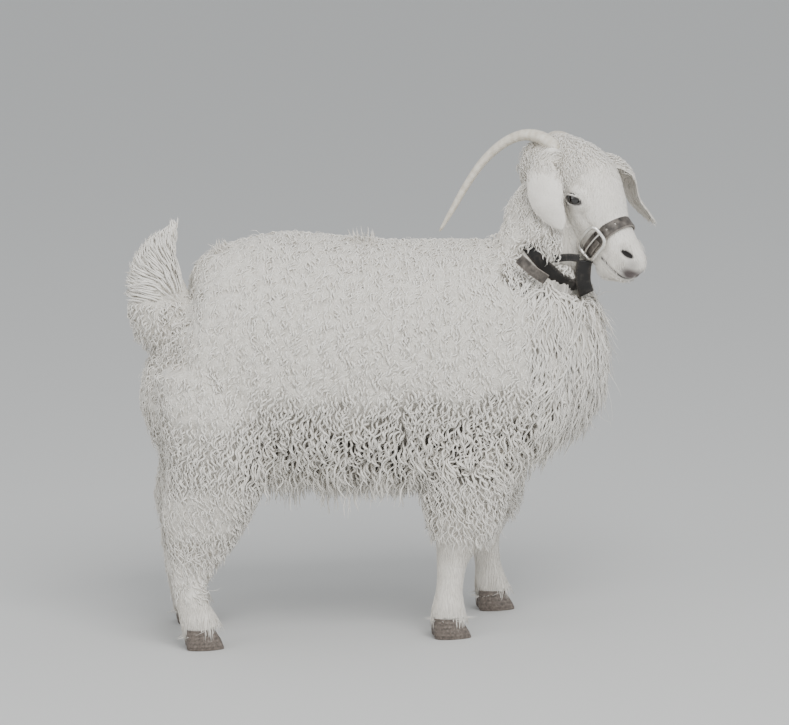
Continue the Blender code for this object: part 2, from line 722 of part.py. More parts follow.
JAW_STRAP = ((0.2955, -0.0775, 0.594), (0.2938, -0.0745, 0.577), (0.2955, -0.066, 0.558), (0.3025, -0.052, 0.538))
JAW_STRAP_FACING = (0.05, -1.0, 0.10)
JAW_STRAP_WIDTH = 0.025
CHEEK_STRAP = ((0.286, -0.084, 0.599), (0.268, -0.086, 0.6015), (0.248, -0.080, 0.5990))
CHEEK_STRAP_FACING = (0.0, -1.0, 0.0)
CHEEK_STRAP_WIDTH = 0.012
STRAP_TIP = ((0.2290, -0.106, 0.570), (0.2052, -0.114, 0.5875), (0.1860, -0.112, 0.6060))
STRAP_TIP_FACING = (-0.35, -0.9, 0.25)
STRAP_TIP_WIDTH = 0.017

# Where the whole goat is parted: a corner, two of the box's axes, and its limits along each axis.
NECK_PLANE = ((0.228, 0.0, 0.500), (0.722, 0.0, 0.692))
TAIL_PLANE = ((-0.352, 0.0, 0.579), (-0.600, 0.0, 0.800))
HEAD_LIFT = 0.019  # from the collar's middle up to the cut between head and neck
FAR = 2.0


def plane_axes(normal):
    """Axes of a box whose first axis is the plane's normal and whose second lies level."""
    n = unit(np.array(normal, float))
    level = unit(np.cross(np.array([0.0, 0.0, 1.0]), n))
    return n, level, np.cross(n, level)


def region_boxes():
    """The regions that the whole goat is parted into, all but the torso, which keeps the rest."""
    up_neck = collar_axes()[0]
    head_at = np.array(COLLAR_HUB) + up_neck * HEAD_LIFT
    boxes = {
        "head": (head_at, plane_axes(up_neck), (0, -FAR, -FAR), (FAR, FAR, FAR)),
        "neck": (np.array(NECK_PLANE[0]), plane_axes(NECK_PLANE[1]), (0, -FAR, -FAR), (FAR, FAR, FAR)),
        "tail": (np.array(TAIL_PLANE[0]), plane_axes(TAIL_PLANE[1]), (0, -0.2, -0.2), (0.3, 0.2, 0.075)),
    }
    square = np.eye(3)
    for name, (x0, x1, top) in {
        "leg_hind_right": (-0.60, -0.185, 0.335),
        "leg_hind_left": (-0.60, -0.185, 0.335),
        "leg_fore_right": (-0.005, 0.400, 0.315),
        "leg_fore_left": (0.020, 0.400, 0.315),
    }.items():
        side = 1 if name.endswith("left") else -1
        inner, outer = sorted((side * 0.024, side * 0.5))
        boxes[name] = (np.zeros(3), square, (x0, inner, LEG_CUT), (x1, outer, top))
    return boxes


def cut_out(whole, name, taken, given, collection):
    """The part of the whole inside its own region and outside the regions given to others."""
    part = duplicate(whole, name + "_part", bpy.context.scene.collection)
    if taken is not None:
        keep = collection_of(name + "_keep", helper=True)
        box_region("keep", *taken, -GAP / 2, keep)
        part = combined(name + "_kept", part, "INTERSECT", keep, bpy.context.scene.collection)
    for number, box in enumerate(given):
        away = collection_of(f"{name}_away_{number}", helper=True)
        box_region("away", *box, GAP / 2, away)
        part = combined(f"{name}_cut_{number}", part, "DIFFERENCE", away, bpy.context.scene.collection)
    mesh = part.data
    bpy.data.objects.remove(part)
    return new_object(name, mesh, collection)


def cleared(piece, others, collection):
    """The piece with room cut in it for its neighbours."""
    rooms = collection_of(piece.name + "_rooms", helper=True)
    for other in others:
        fattened(other, rooms)
    name, mesh = piece.name, piece.data
    collection.objects.unlink(piece)
    bpy.context.scene.collection.objects.link(piece)
    cut = combined(name + "_cleared", piece, "DIFFERENCE", rooms, bpy.context.scene.collection)
    mesh = cut.data
    bpy.data.objects.remove(cut)
    return new_object(name, mesh, collection)


def material(name, colour, roughness, metallic=0.0):
    made = bpy.data.materials.new(name)
    made.use_nodes = True
    shader = made.node_tree.nodes["Principled BSDF"]
    shader.inputs["Base Color"].default_value = (*colour, 1)
    shader.inputs["Roughness"].default_value = roughness
    shader.inputs["Metallic"].default_value = metallic
    made.diffuse_color = (*colour, 1)
    return made


MATERIALS = {
    "mohair": ((0.80, 0.78, 0.73), 0.85, 0.0),
    "horn": ((0.62, 0.57, 0.48), 0.45, 0.0),
    "hoof": ((0.20, 0.17, 0.14), 0.5, 0.0),
    "eye": ((0.10, 0.06, 0.03), 0.08, 0.0),
    "leather": ((0.03, 0.025, 0.022), 0.5, 0.0),
    "worn_leather": ((0.28, 0.24, 0.20), 0.6, 0.0),
    "steel": ((0.72, 0.71, 0.69), 0.25, 1.0),
}
# The material of each node that isn't coat, by the start of its name
WEARS = {
    "horn": "horn",
    "claw": "hoof",
    "eye": "eye",
    "halter_buckle": "steel",
    "halter_strap": "worn_leather",
    "halter": "leather",
}

# The fleece. Clump sizes: half length, half width, and the share of its height sunk in the core
CLUMPS = {
    "large": (0.050, 0.044, 0.036),
    "medium": (0.041, 0.036, 0.030),
    "small": (0.031, 0.027, 0.022),
    "tiny": (0.021, 0.018, 0.013),
}
# Locks: length, half width, half thickness, and the way they lie: -1 hanging, 1 standing up
LOCKS = {
    "chest": (0.060, 0.030, 0.020, -1),
    "leg": (0.036, 0.021, 0.014, -1),
    "tail": (0.044, 0.019, 0.013, 1),
}
CANDIDATES = 16000
COAT_RATIO = 0.25  # of the clumped body's faces that are kept
FACE_FROM = 0.066  # along the head, where the curls stop and the short hair of the face begins


def core_samples(obj, count, rng):
    """Points spread evenly over the surface by area, each with its normal."""
    obj.data.calc_loop_triangles()
    points = np.array([v.co[:] for v in obj.data.vertices])
    corners = points[np.array([t.vertices[:] for t in obj.data.loop_triangles])]
    cross = np.cross(corners[:, 1] - corners[:, 0], corners[:, 2] - corners[:, 0])
    area = np.linalg.norm(cross, axis=1)
    pick = rng.choice(len(area), count, p=area / area.sum())
    a, b = rng.random((2, count))
    root = np.sqrt(a)
    weights = np.stack([1 - root, root * (1 - b), root * b], 1)
    return (corners[pick] * weights[..., None]).sum(1), unit(cross[pick])


def coat_kind(point, normal):
    """Which clump or lock grows here, and how far from its neighbours; None where hair is short."""
    x, y, z = point
    s, across, rise = (point - np.array(POLL)) @ HEAD_AXES
    on_head = (point - np.array(COLLAR_HUB)) @ collar_axes()[0] > HEAD_LIFT and x > 0.19
    if on_head:
        return ("tiny", 0.027) if s < FACE_FROM and (rise > -0.02 or s < 0.035) else None
    if z < 0.105:
        return None
    if x < -0.335 and z > 0.53:
        return ("tail", 0.027) if z < 0.632 else None
    if z < 0.17:
        return "small", 0.034
    if z < 0.30 and abs(y) < 0.16 and (abs(normal[2]) < 0.7):
        return ("leg", 0.038) if abs(normal[0]) > 0.75 else ("small", 0.037)
    if normal[2] < -0.45:
        return "medium", 0.049
    if x > 0.24 and normal[0] > 0.35 and z < 0.50:
        return "chest", 0.042
    if z > 0.55 and x > 0.17:
        return "medium", 0.045
    return "large", 0.057


def clump(name, point, normal, height, size, spin, detail, collection):
    """A rounded tuft: a stretched ball, its root sunk in the core and its top at the given height."""
    long, wide, sunk = size
    shape = bmesh.new()
    bmesh.ops.create_icosphere(shape, subdivisions=detail, radius=1)
    up = Vector(normal)
    place = up.to_track_quat("Z", "Y").to_matrix().to_4x4()
    thick = (height + sunk) / 2 + 0.35 * sunk
    middle = Vector(point) + up * (height - thick)
    grow = Matrix.Translation(middle) @ place @ Matrix.Rotation(spin, 4, "Z")
    bmesh.ops.transform(shape, matrix=grow @ Matrix.Diagonal((long, wide, thick, 1)), verts=shape.verts)
    mesh = bpy.data.meshes.new(name)
    shape.to_mesh(mesh)
    shape.free()
    return new_object(name, mesh, collection)


def lock(name, point, normal, reach, size, collection):
    """A flat tapered lock, blunt at its tip: it leaves the core and lies down along it."""
    length, wide, thick, way = size
    normal = np.asarray(normal, float)
    lie = np.array([0.0, 0.0, way]) + 0.15 * normal
    lie = unit(lie - 0.8 * normal * (normal @ lie))
    out = np.array([-0.6, 0.45, 0.80, 0.62]) * reach
    along = np.array([-0.15, 0.10, 0.60, 1.0]) * length
    path = np.asarray(point) + out[:, None] * normal + along[:, None] * lie
    radii = wide * np.array([0.85, 1.0, 0.86, 0.40])
    return tube(name, path, radii, 6, collection, flat=thick / wide, across=normal)


def grow_coat(core, outer, avoid, body_tufts, head_tufts):
    """Clumps and locks over the core, set close by rejecting any too near another."""
    rng = np.random.default_rng(SEED)
    points, normals = core_samples(core, CANDIDATES, rng)
    shuffle = rng.random((CANDIDATES, 3))
    outside = tree_of(outer)
    blocked = [tree_of(obj) for obj in avoid]
    taken, spaces = np.zeros((0, 3)), np.zeros(0)
    for number in range(CANDIDATES):
        point, normal = points[number], normals[number]
        kind = coat_kind(point, normal)
        if kind is None:
            continue
        name, space = kind
        if len(taken) and (np.linalg.norm(taken - point, axis=1) < np.maximum(spaces, space) * 0.98).any():
            continue
        keep_off = 0.010 if name == "tiny" else 0.016
        if any(tree.find_nearest(Vector(point))[3] < keep_off for tree in blocked):
            continue
        hit = outside.ray_cast(Vector(point + normal * 0.0005), Vector(normal), 0.09)
        height = hit[3] if hit[0] is not None else outside.find_nearest(Vector(point))[3]
        if height < 0.004:
            continue
        taken, spaces = np.vstack([taken, point]), np.append(spaces, space)
        vary = 0.92 + 0.2 * shuffle[number, 0]
        collection = head_tufts if name == "tiny" else body_tufts
        label = f"{name}_{number}"
        if name in CLUMPS:
            size = [length * vary for length in CLUMPS[name]]
            spin, detail = 6.28 * shuffle[number, 1], 1 if name == "tiny" else 2
            clump(label, point, normal, height * vary, size, spin, detail, collection)
        else:
            size = (LOCKS[name][0] * vary, *LOCKS[name][1:])
            lock(label, point, normal, height * vary, size, collection)


def joined_forms(name, share, head):
    """Every fleshy form joined to the head, share of the coat's depth in from the tips."""
    scene = bpy.context.scene.collection
    forms = collection_of(name + "_forms", helper=True)
    skin_rings("neck_form", loft_points(NECK, share, 8, 16), forms)
    skin_rings("tail_form", loft_points(TAIL, share, 7, 9), forms)
    for leg, stance in STANCE.items():
        rings = loft_points(leg_stations(stance), share, 12, 10, ends=False)
        skin_rings(leg + "_form", rings, forms)
    if head:
        scene.objects.unlink(head)
        forms.objects.link(head)
    torso = skin_rings("torso_form", loft_points(TORSO, share, 15, 18), scene)
    return combined(name, torso, "UNION", forms, scene)


def simplified(obj, ratio):
    """The object with its shortest, flattest edges collapsed, down to the ratio of its faces."""
    modifier = obj.modifiers.new("Simplify", "DECIMATE")
    modifier.ratio = ratio
    graph = bpy.context.evaluated_depsgraph_get()
    mesh = bpy.data.meshes.new_from_object(obj.evaluated_get(graph))
    bpy.data.objects.remove(obj)
    largest_shell(mesh)
    return new_object("simplified", mesh, bpy.context.scene.collection)


def build():
    for obj in list(bpy.data.objects):
        bpy.data.objects.remove(obj)
    scene = bpy.context.scene.collection
    share = 0.0 if PLAIN_COAT else CORE_SHARE
    head = head_with_face(share, 21, 22)
    face = tree_of(head)
    spare = duplicate(head, "spare_head", scene)
    goat = joined_forms("core", share, head)
    skin = tree_of(goat)

    # Loose pieces, and the room each needs
    kept = collection_of("nodes")
    rooms = collection_of("rooms", helper=True)
    pieces = [
        horn(-1, "horn_right", 15, 9, kept),
        horn(1, "horn_left", 15, 9, kept),
        ear("ear_right", 11, 7, kept),
        ear("ear_left", 11, 7, kept),
        eye_ball(-1, "eye_right", kept),
        eye_ball(1, "eye_left", kept),
    ]
    loop, round_nose = collar(skin, kept), noseband(face, kept)
    wire, end = buckle(face, kept), strap_end(face, kept)
    end = cleared(end, [round_nose, wire], kept)
    jaw = ribbon("halter_jaw_strap", JAW_STRAP, JAW_STRAP_FACING, JAW_STRAP_WIDTH, STRAP, kept)
    jaw = cleared(jaw, [loop, round_nose, wire], kept)
    cheek = ribbon(
        "halter_cheek_strap", CHEEK_STRAP, CHEEK_STRAP_FACING, CHEEK_STRAP_WIDTH, STRAP, kept
    )
    cheek = cleared(cheek, [jaw, round_nose, wire], kept)
    tip = ribbon("halter_strap_tip", STRAP_TIP, STRAP_TIP_FACING, STRAP_TIP_WIDTH, STRAP, kept)
    tip = cleared(tip, [loop], kept)
    worn = [loop, round_nose, wire, jaw, cheek, tip]
    if not PLAIN_COAT:
        outer = joined_forms("outer", 0.0, skin_rings("outer_head", head_rings(0.0, 21, 22), scene))
        body_tufts = collection_of("body_tufts", helper=True)
        head_tufts = collection_of("head_tufts", helper=True)
        grow_coat(goat, outer, [loop, round_nose, wire] + pieces, body_tufts, head_tufts)
        bpy.data.objects.remove(outer)
        bpy.data.objects.remove(goat)
        goat = joined_forms("body", share, None)
        goat = combined("body_fleeced", goat, "UNION", body_tufts, scene)
        goat = simplified(goat, COAT_RATIO)
        scene.objects.unlink(spare)
        head_tufts.objects.link(spare)
        goat = combined("goat_fleeced", goat, "UNION", head_tufts, scene)
    else:
        bpy.data.objects.remove(spare)
    for piece in pieces + worn:
        fattened(piece, rooms)
    goat = combined("goat_roomed", goat, "DIFFERENCE", rooms, scene)
    for name, stance in STANCE.items():
        for side, label in ((-1, "a"), (1, "b")):
            claw(stance, side, f"claw_{name}_{label}", kept)

    # The goat parted into its nodes
    boxes = region_boxes()
    cut_out(goat, "head", boxes["head"], [], kept)
    cut_out(goat, "neck", boxes["neck"], [boxes["head"]], kept)
    cut_out(goat, "tail", boxes["tail"], [], kept)
    legs = [name for name in boxes if name.startswith("leg")]
    for name in legs:
        cut_out(goat, name, boxes[name], [boxes["neck"]], kept)
    others = [boxes[name] for name in ["neck", "tail"] + legs]
    cut_out(goat, "torso", None, others, kept)
    bpy.data.objects.remove(goat)

    # Materials, and the whole moved to stand over the middle of its box
    made = {name: material(name, *values) for name, values in MATERIALS.items()}
    for obj in kept.objects:
        worn = [wear for start, wear in WEARS.items() if obj.name.startswith(start)]
        obj.data.materials.clear()
        obj.data.materials.append(made[worn[0] if worn else "mohair"])
        for vert in obj.data.vertices:
            vert.co.x -= DRAWING_CENTRE[0]
            vert.co.y -= DRAWING_CENTRE[1]


build()
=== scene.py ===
# %% [markdown]
# # An angora goat in a leather halter
# A grown horned goat stands square, its head turned to its right. Its coat is mohair: curled locks about
# half a centimetre across, felted together on the back and the flanks, open and loose along the belly and
# the legs. The face, the ears and the shins have short smooth hair. The solid model comes first, as a
# fixed frame that everything here is fitted to.

# %% Load the solid model
import math

import bmesh
import bpy
import numpy as np
from mathutils import Matrix, Vector, noise
from mathutils.bvhtree import BVHTree
from mathutils.kdtree import KDTree


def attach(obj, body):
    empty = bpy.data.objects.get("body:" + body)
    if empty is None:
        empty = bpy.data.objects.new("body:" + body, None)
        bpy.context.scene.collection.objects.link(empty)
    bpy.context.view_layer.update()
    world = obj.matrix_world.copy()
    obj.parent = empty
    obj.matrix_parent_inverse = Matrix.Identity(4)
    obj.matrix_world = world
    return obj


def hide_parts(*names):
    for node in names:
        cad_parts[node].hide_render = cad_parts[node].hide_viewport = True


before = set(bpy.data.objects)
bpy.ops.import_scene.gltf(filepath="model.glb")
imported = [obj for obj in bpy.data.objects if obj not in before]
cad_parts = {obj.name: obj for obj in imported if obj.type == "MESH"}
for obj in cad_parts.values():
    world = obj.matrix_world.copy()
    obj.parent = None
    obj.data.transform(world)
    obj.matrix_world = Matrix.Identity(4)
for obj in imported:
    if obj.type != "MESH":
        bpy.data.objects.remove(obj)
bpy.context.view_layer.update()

print("nodes:", len(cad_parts))

# %% [markdown]
# ## The camera
# The goat is seen from its right side, from a little above its back and from far off, so its near and far
# legs are nearly the same size. A long lens from 6.5 m gives that flat view. The camera is rolled by a
# degree.

# %% Camera
SHIFT = np.array([0.0030, -0.0044, 0.0])  # from the drawing's origin to the middle of the model's box
LENS_MM = 188.3
DISTANCE, CAMERA_HEIGHT, TARGET_HEIGHT = 6.5, 1.5, 0.4295
VIEW_TURN, VIEW_ROLL = math.radians(-7), math.radians(-1)


def place_camera():
    """A camera on a circle round the goat, its axes built from the line to its target, then rolled."""
    eye = np.array([DISTANCE * math.sin(VIEW_TURN), -DISTANCE * math.cos(VIEW_TURN), CAMERA_HEIGHT])
    ahead = np.array([0.0, 0.0, TARGET_HEIGHT]) - eye
    ahead = ahead / np.linalg.norm(ahead)
    right = np.cross(ahead, [0.0, 0.0, 1.0])
    right = right / np.linalg.norm(right)
    above = np.cross(right, ahead)
    cos, sin = math.cos(VIEW_ROLL), math.sin(VIEW_ROLL)
    right, above = right * cos + above * sin, above * cos - right * sin
    data = bpy.data.cameras.new("camera")
    data.lens, data.sensor_width, data.clip_end = LENS_MM, 36, 60
    camera = bpy.data.objects.new("camera", data)
    bpy.context.scene.collection.objects.link(camera)
    turn = Matrix(np.stack([right, above, -ahead], axis=1).tolist()).to_4x4()
    camera.matrix_world = Matrix.Translation(eye + SHIFT) @ turn
    bpy.context.scene.camera = camera
    print("camera at", np.round(eye + SHIFT, 3), "lens", LENS_MM)


place_camera()

# %% [markdown]
# ## Materials
# Colours are written as the sRGB hex values that a colour picker shows, and one function turns them to
# the linear values that a renderer works in. Another adds one node with its settings and its links.

# %% Colour and node helpers
def colour(hex_value):
    """An sRGB hex colour as linear red, green, blue and 1: the standard piecewise power curve."""
    parts = [int(hex_value[i : i + 2], 16) / 255 for i in (1, 3, 5)]
    return (*[c / 12.92 if c <= 0.04045 else ((c + 0.055) / 1.055) ** 2.4 for c in parts], 1.0)


def add(material, kind, settings=None, links=None):
    """Adds one node: settings are its properties, its sockets' values or a ramp's stops; links feed it."""
    node = material.node_tree.nodes.new(kind)
    for key, value in (settings or {}).items():
        if key == "stops":
            elements = node.color_ramp.elements
            while len(elements) < len(value):
                elements.new(0.5)
            for element, (position, hex_value) in zip(elements, value):
                element.position, element.color = position, colour(hex_value)
        elif isinstance(key, str) and hasattr(node, key) and key not in node.inputs:
            setattr(node, key, value)
        else:
            node.inputs[key].default_value = value
    for key, socket in (links or {}).items():
        material.node_tree.links.new(socket, node.inputs[key])
    return node


def surface(name, **constants):
    """A material with its Principled shader, and the constants that hold all over it."""
    made = bpy.data.materials.new(name)
    made.use_nodes = True
    shader = made.node_tree.nodes["Principled BSDF"]
    for key, value in constants.items():
        shader.inputs[key.replace("_", " ")].default_value = value
    return made, shader


def painted_over(material, under, attribute, over):
    """Lays a colour over another as far as a vertex attribute says: under (1 - a) + over a."""
    share = add(material, "ShaderNodeAttribute", {"attribute_name": attribute})
    links = {"Fac": share.outputs["Fac"], "Color1": under}
    if isinstance(over, str):
        mix = add(material, "ShaderNodeMixRGB", {"Color2": colour(over)}, links)
    else:
        mix = add(material, "ShaderNodeMixRGB", {}, {**links, "Color2": over})
    return mix.outputs["Color"]


def finish(material, shader, tint, height, strength, distance):
    """Wires a colour, if there is one, and the bump of a height into the shader."""
    bump = add(material, "ShaderNodeBump", {"Strength": strength, "Distance": distance}, {"Height": height})
    for name, socket in (("Base Color", tint), ("Normal", bump.outputs["Normal"])):
        if socket:
            material.node_tree.links.new(socket, shader.inputs[name])
    return material


print("mid grey, #808080, is", round(colour("#808080")[0], 3), "of white in linear light")

# %% [markdown]
# Mohair is a lustrous wool, off-white. Each curl is painted bright on its outside and darker where it goes
# down to its root, a painted shade of the gaps between the curls. Each lock carries its own map, round it
# and along it, so that fine strands run its length.
# Real hairs are 0.03 mm thick, far too fine to show, so a lock has about ten strands round it, a
# millimetre apart.

# %% Mohair
def mohair(name, tip, middle, root, strands=10.0):
    """Stripes along each lock from its own map, a tone of its own for each lock, and roots darkened as a
    painted shade.
    """
    made, shader = surface(
        name, Roughness=0.62, Sheen_Weight=0.25, Sheen_Roughness=0.5, Specular_IOR_Level=0.35
    )
    lock_map = add(made, "ShaderNodeUVMap", {"uv_map": "Lock"})
    stretched = add(
        made, "ShaderNodeMapping", {"Scale": (strands, 1.3, 1.0)}, {"Vector": lock_map.outputs["UV"]}
    )
    strand = add(
        made, "ShaderNodeTexNoise", {"Scale": 1.0, "Detail": 3.0, "Roughness": 0.6},
        {"Vector": stretched.outputs["Vector"]},
    )
    tone = add(
        made, "ShaderNodeMath", {"operation": "MULTIPLY_ADD", 1: 0.28, 2: -0.14}, {0: strand.outputs["Fac"]}
    )
    for attribute in ("depth", "shade"):
        more = add(made, "ShaderNodeAttribute", {"attribute_name": attribute})
        tone = add(
            made, "ShaderNodeMath", {"operation": "ADD"}, {0: tone.outputs[0], 1: more.outputs["Fac"]}
        )
    stops = ((0.0, root), (0.45, middle), (0.95, tip))
    tint = add(made, "ShaderNodeValToRGB", {"stops": stops}, {"Fac": tone.outputs[0]})
    return finish(made, shader, tint.outputs["Color"], strand.outputs["Fac"], 0.45, 0.0012)


# The root colours are a painted shade of the gaps between the locks; tips and middles are the hair's own
# colour.
FLEECE = mohair("mohair_ringlets", "#F3EFE7", "#E6E1D7", "#3C372F")
LONG_HAIR = mohair("mohair_straight", "#F3EFE7", "#E6E1D7", "#8C8478", 7.0)
SHORT_HAIR = mohair("goat_hair_short", "#ECE7DE", "#E1DCD1", "#C2BBAF", 3.0)


def felt():
    """Matted underwool: clotted noise, paler on its lumps, painted dark where the fleece is open as the
    shade between the curls, with a strong bump.
    """
    made, shader = surface("mohair_underwool", Roughness=0.8, Sheen_Weight=0.3, Specular_IOR_Level=0.25)
    place = add(made, "ShaderNodeTexCoord")
    drawn = add(made, "ShaderNodeMapping", {"Scale": (330, 330, 190)}, {"Vector": place.outputs["Object"]})
    clots = add(
        made, "ShaderNodeTexNoise", {"Scale": 1.0, "Detail": 5.0, "Distortion": 1.4},
        {"Vector": drawn.outputs["Vector"]},
    )
    stops = ((0.25, "#CBC5B9"), (0.5, "#E2DDD3"), (0.75, "#EFEBE2"))
    pale = add(made, "ShaderNodeValToRGB", {"stops": stops}, {"Fac": clots.outputs["Fac"]})
    # low, the fleece's openness, paints the mat dark: a painted shade in the gaps between open curls
    tint = painted_over(made, pale.outputs["Color"], "low", "#3F3A33")
    return finish(made, shader, tint, clots.outputs["Fac"], 0.9, 0.003)


FELT = felt()
print("mohair:", FLEECE.name, LONG_HAIR.name, SHORT_HAIR.name)

# %% [markdown]
# The skin shows where the hair is short. It is pale with a nap of fine hair on the face and ears, greyer
# on the bare nose and lips, and faintly pink inside the ears. Three attributes that each vertex carries
# say how hairless it is (bare), how far blood shows through (warm) and how deep in an opening it lies
# (deep); deep is a painted shade, nearly black, inside the nostrils, the mouth and the eyes' openings, and
# the grey of bare is partly painted shade on the front of the muzzle and along the mouth. Horns and hooves
# are keratin, grown in layers: the horns are polished by rubbing, the hooves dull and worn.

# %% Skin, horn, hoof and eye
def hide():
    """Short-haired hide: two scales of noise for the nap, greyed where bare and warmed where thin, and
    painted near black as shade where deep in an opening.
    """
    made, shader = surface("goat_hide", Roughness=0.75, Sheen_Weight=0.2, Specular_IOR_Level=0.3)
    place = add(made, "ShaderNodeTexCoord")
    nap_map = add(made, "ShaderNodeMapping", {"Scale": (700, 700, 260)}, {"Vector": place.outputs["Object"]})
    nap = add(
        made, "ShaderNodeTexNoise", {"Scale": 1.0, "Detail": 3.0}, {"Vector": nap_map.outputs["Vector"]}
    )
    cloud = add(
        made, "ShaderNodeTexNoise", {"Scale": 42.0, "Detail": 3.0}, {"Vector": place.outputs["Object"]}
    )
    mixed = add(
        made, "ShaderNodeMath", {"operation": "MULTIPLY_ADD", 1: 0.5},
        {0: nap.outputs["Fac"], 2: cloud.outputs["Fac"]},
    )
    stops = ((0.35, "#D3CEC4"), (0.7, "#E6E1D8"), (1.0, "#EEEAE2"))
    pale = add(made, "ShaderNodeValToRGB", {"stops": stops}, {"Fac": mixed.outputs[0]})
    stops = ((0.3, "#3C3838"), (0.7, "#5E5957"))
    grey = add(made, "ShaderNodeValToRGB", {"stops": stops}, {"Fac": cloud.outputs["Fac"]})
    tint = pale.outputs["Color"]
    # bare greys bare skin, partly as painted shade; deep is a painted shade inside openings
    for attribute, over in (("bare", grey.outputs["Color"]), ("warm", "#B08A80"), ("deep", "#14100F")):
        tint = painted_over(made, tint, attribute, over)
    return finish(made, shader, tint, nap.outputs["Fac"], 0.5, 0.0007)


def keratin(name, light, dark, wear, roughness, rings, grain):
    """Layered keratin: ring shade from the attribute along, streaks across it, from noise."""
    made, shader = surface(name, Roughness=roughness, Specular_IOR_Level=0.5)
    along = add(made, "ShaderNodeAttribute", {"attribute_name": "along"})
    place = add(made, "ShaderNodeTexCoord")
    streak = add(
        made, "ShaderNodeTexNoise", {"Scale": grain, "Detail": 4.0}, {"Vector": place.outputs["Object"]}
    )
    wave = add(
        made, "ShaderNodeMath", {"operation": "MULTIPLY", 1: rings * 2 * math.pi}, {0: along.outputs["Fac"]}
    )
    ring = add(made, "ShaderNodeMath", {"operation": "SINE"}, {0: wave.outputs[0]})
    mixed = add(
        made, "ShaderNodeMath", {"operation": "MULTIPLY_ADD", 1: 0.07},
        {0: ring.outputs[0], 2: streak.outputs["Fac"]},
    )
    stops = ((0.25, dark), (0.55, light), (0.85, wear))
    tint = add(made, "ShaderNodeValToRGB", {"stops": stops}, {"Fac": mixed.outputs[0]})
    return finish(made, shader, tint.outputs["Color"], mixed.outputs[0], 0.4, 0.0008)


HIDE = hide()
HORN = keratin("horn_keratin", "#D6CFC1", "#C3BAA9", "#E2DDD1", 0.42, 26, 110)
HOOF = keratin("hoof_keratin", "#6A6058", "#463F3A", "#8B8177", 0.55, 5, 300)


def eye_surface():
    """A dark brown iris, painted nearly black as the lids' shade, with a level slit of a pupil, under a
    clear wet coat.
    """
    made, shader = surface("eye_wet", Roughness=0.06, Coat_Weight=1.0, Coat_Roughness=0.02)
    iris = add(made, "ShaderNodeAttribute", {"attribute_name": "iris"})
    # The iris's brown is darkened nearly to black: painted shade of the lids over the eye
    stops = ((0.0, "#050404"), (0.28, "#0B0806"), (0.36, "#150E07"), (0.8, "#090605"))
    tint = add(made, "ShaderNodeValToRGB", {"stops": stops}, {"Fac": iris.outputs["Fac"]})
    made.node_tree.links.new(tint.outputs["Color"], shader.inputs["Base Color"])
    return made


EYE = eye_surface()
print("hide, horn, hoof and eye made")

# %% [markdown]
# The halter is bridle leather: black and waxed on the collar and the jaw strap, and lighter grey-brown on
# the noseband and its ends, partly worn and partly a painted highlight where light falls on their outer
# faces. Its thread is waxed linen and its buckle is a plain bright steel frame.

# %% Leather and steel
def leather(name, dark, mid, worn, roughness):
    """Grain of cells 1 mm across, as fine as shows, with worn patches from slow noise."""
    made, shader = surface(name, Roughness=roughness, Specular_IOR_Level=0.45)
    place = add(made, "ShaderNodeTexCoord")
    cells = add(
        made, "ShaderNodeTexVoronoi", {"Scale": 900.0, "feature": "DISTANCE_TO_EDGE"},
        {"Vector": place.outputs["Object"]},
    )
    patches = add(
        made, "ShaderNodeTexNoise", {"Scale": 90.0, "Detail": 5.0}, {"Vector": place.outputs["Object"]}
    )
    edge = add(made, "ShaderNodeAttribute", {"attribute_name": "edge"})
    mixed = add(
        made, "ShaderNodeMath", {"operation": "MULTIPLY_ADD", 1: 0.35},
        {0: edge.outputs["Fac"], 2: patches.outputs["Fac"]},
    )
    stops = ((0.32, dark), (0.55, mid), (0.85, worn))
    tint = add(made, "ShaderNodeValToRGB", {"stops": stops}, {"Fac": mixed.outputs[0]})
    return finish(made, shader, tint.outputs["Color"], cells.outputs["Distance"], 0.35, 0.0004)


def steel():
    """Bright forged steel: no pattern in its colour, only fine scratches as bump."""
    made, shader = surface("forged_steel", Metallic=1.0, Roughness=0.36, Base_Color=colour("#F1EFEA"))
    place = add(made, "ShaderNodeTexCoord")
    scratch = add(
        made, "ShaderNodeTexNoise", {"Scale": 420.0, "Detail": 4.0}, {"Vector": place.outputs["Object"]}
    )
    return finish(made, shader, None, scratch.outputs["Fac"], 0.15, 0.0003)


BLACK_LEATHER = leather("bridle_leather_black", "#100F0F", "#1B1918", "#45403B", 0.42)
# The lighter leather of the noseband and its ends: wear, and a painted highlight of the light on them
WORN_AND_LIT_LEATHER = leather("bridle_leather_worn_and_lit", "#2B2724", "#5A544E", "#8A837B", 0.6)
THREAD = surface("linen_thread", Roughness=0.8, Base_Color=colour("#4D463F"))[0]
STEEL = steel()
print("leather and steel made")

# %% [markdown]
# ## The skin
# A goat under its fleece is narrow: the coat hangs four or five centimetres deep on the flanks and almost
# nothing on the shins. The skin is the drawn body taken in by half the coat's depth, the same core that
# the solid model grows its clumps from. Each part is a loft: rings of a squared-off ellipse strung along
# stations.

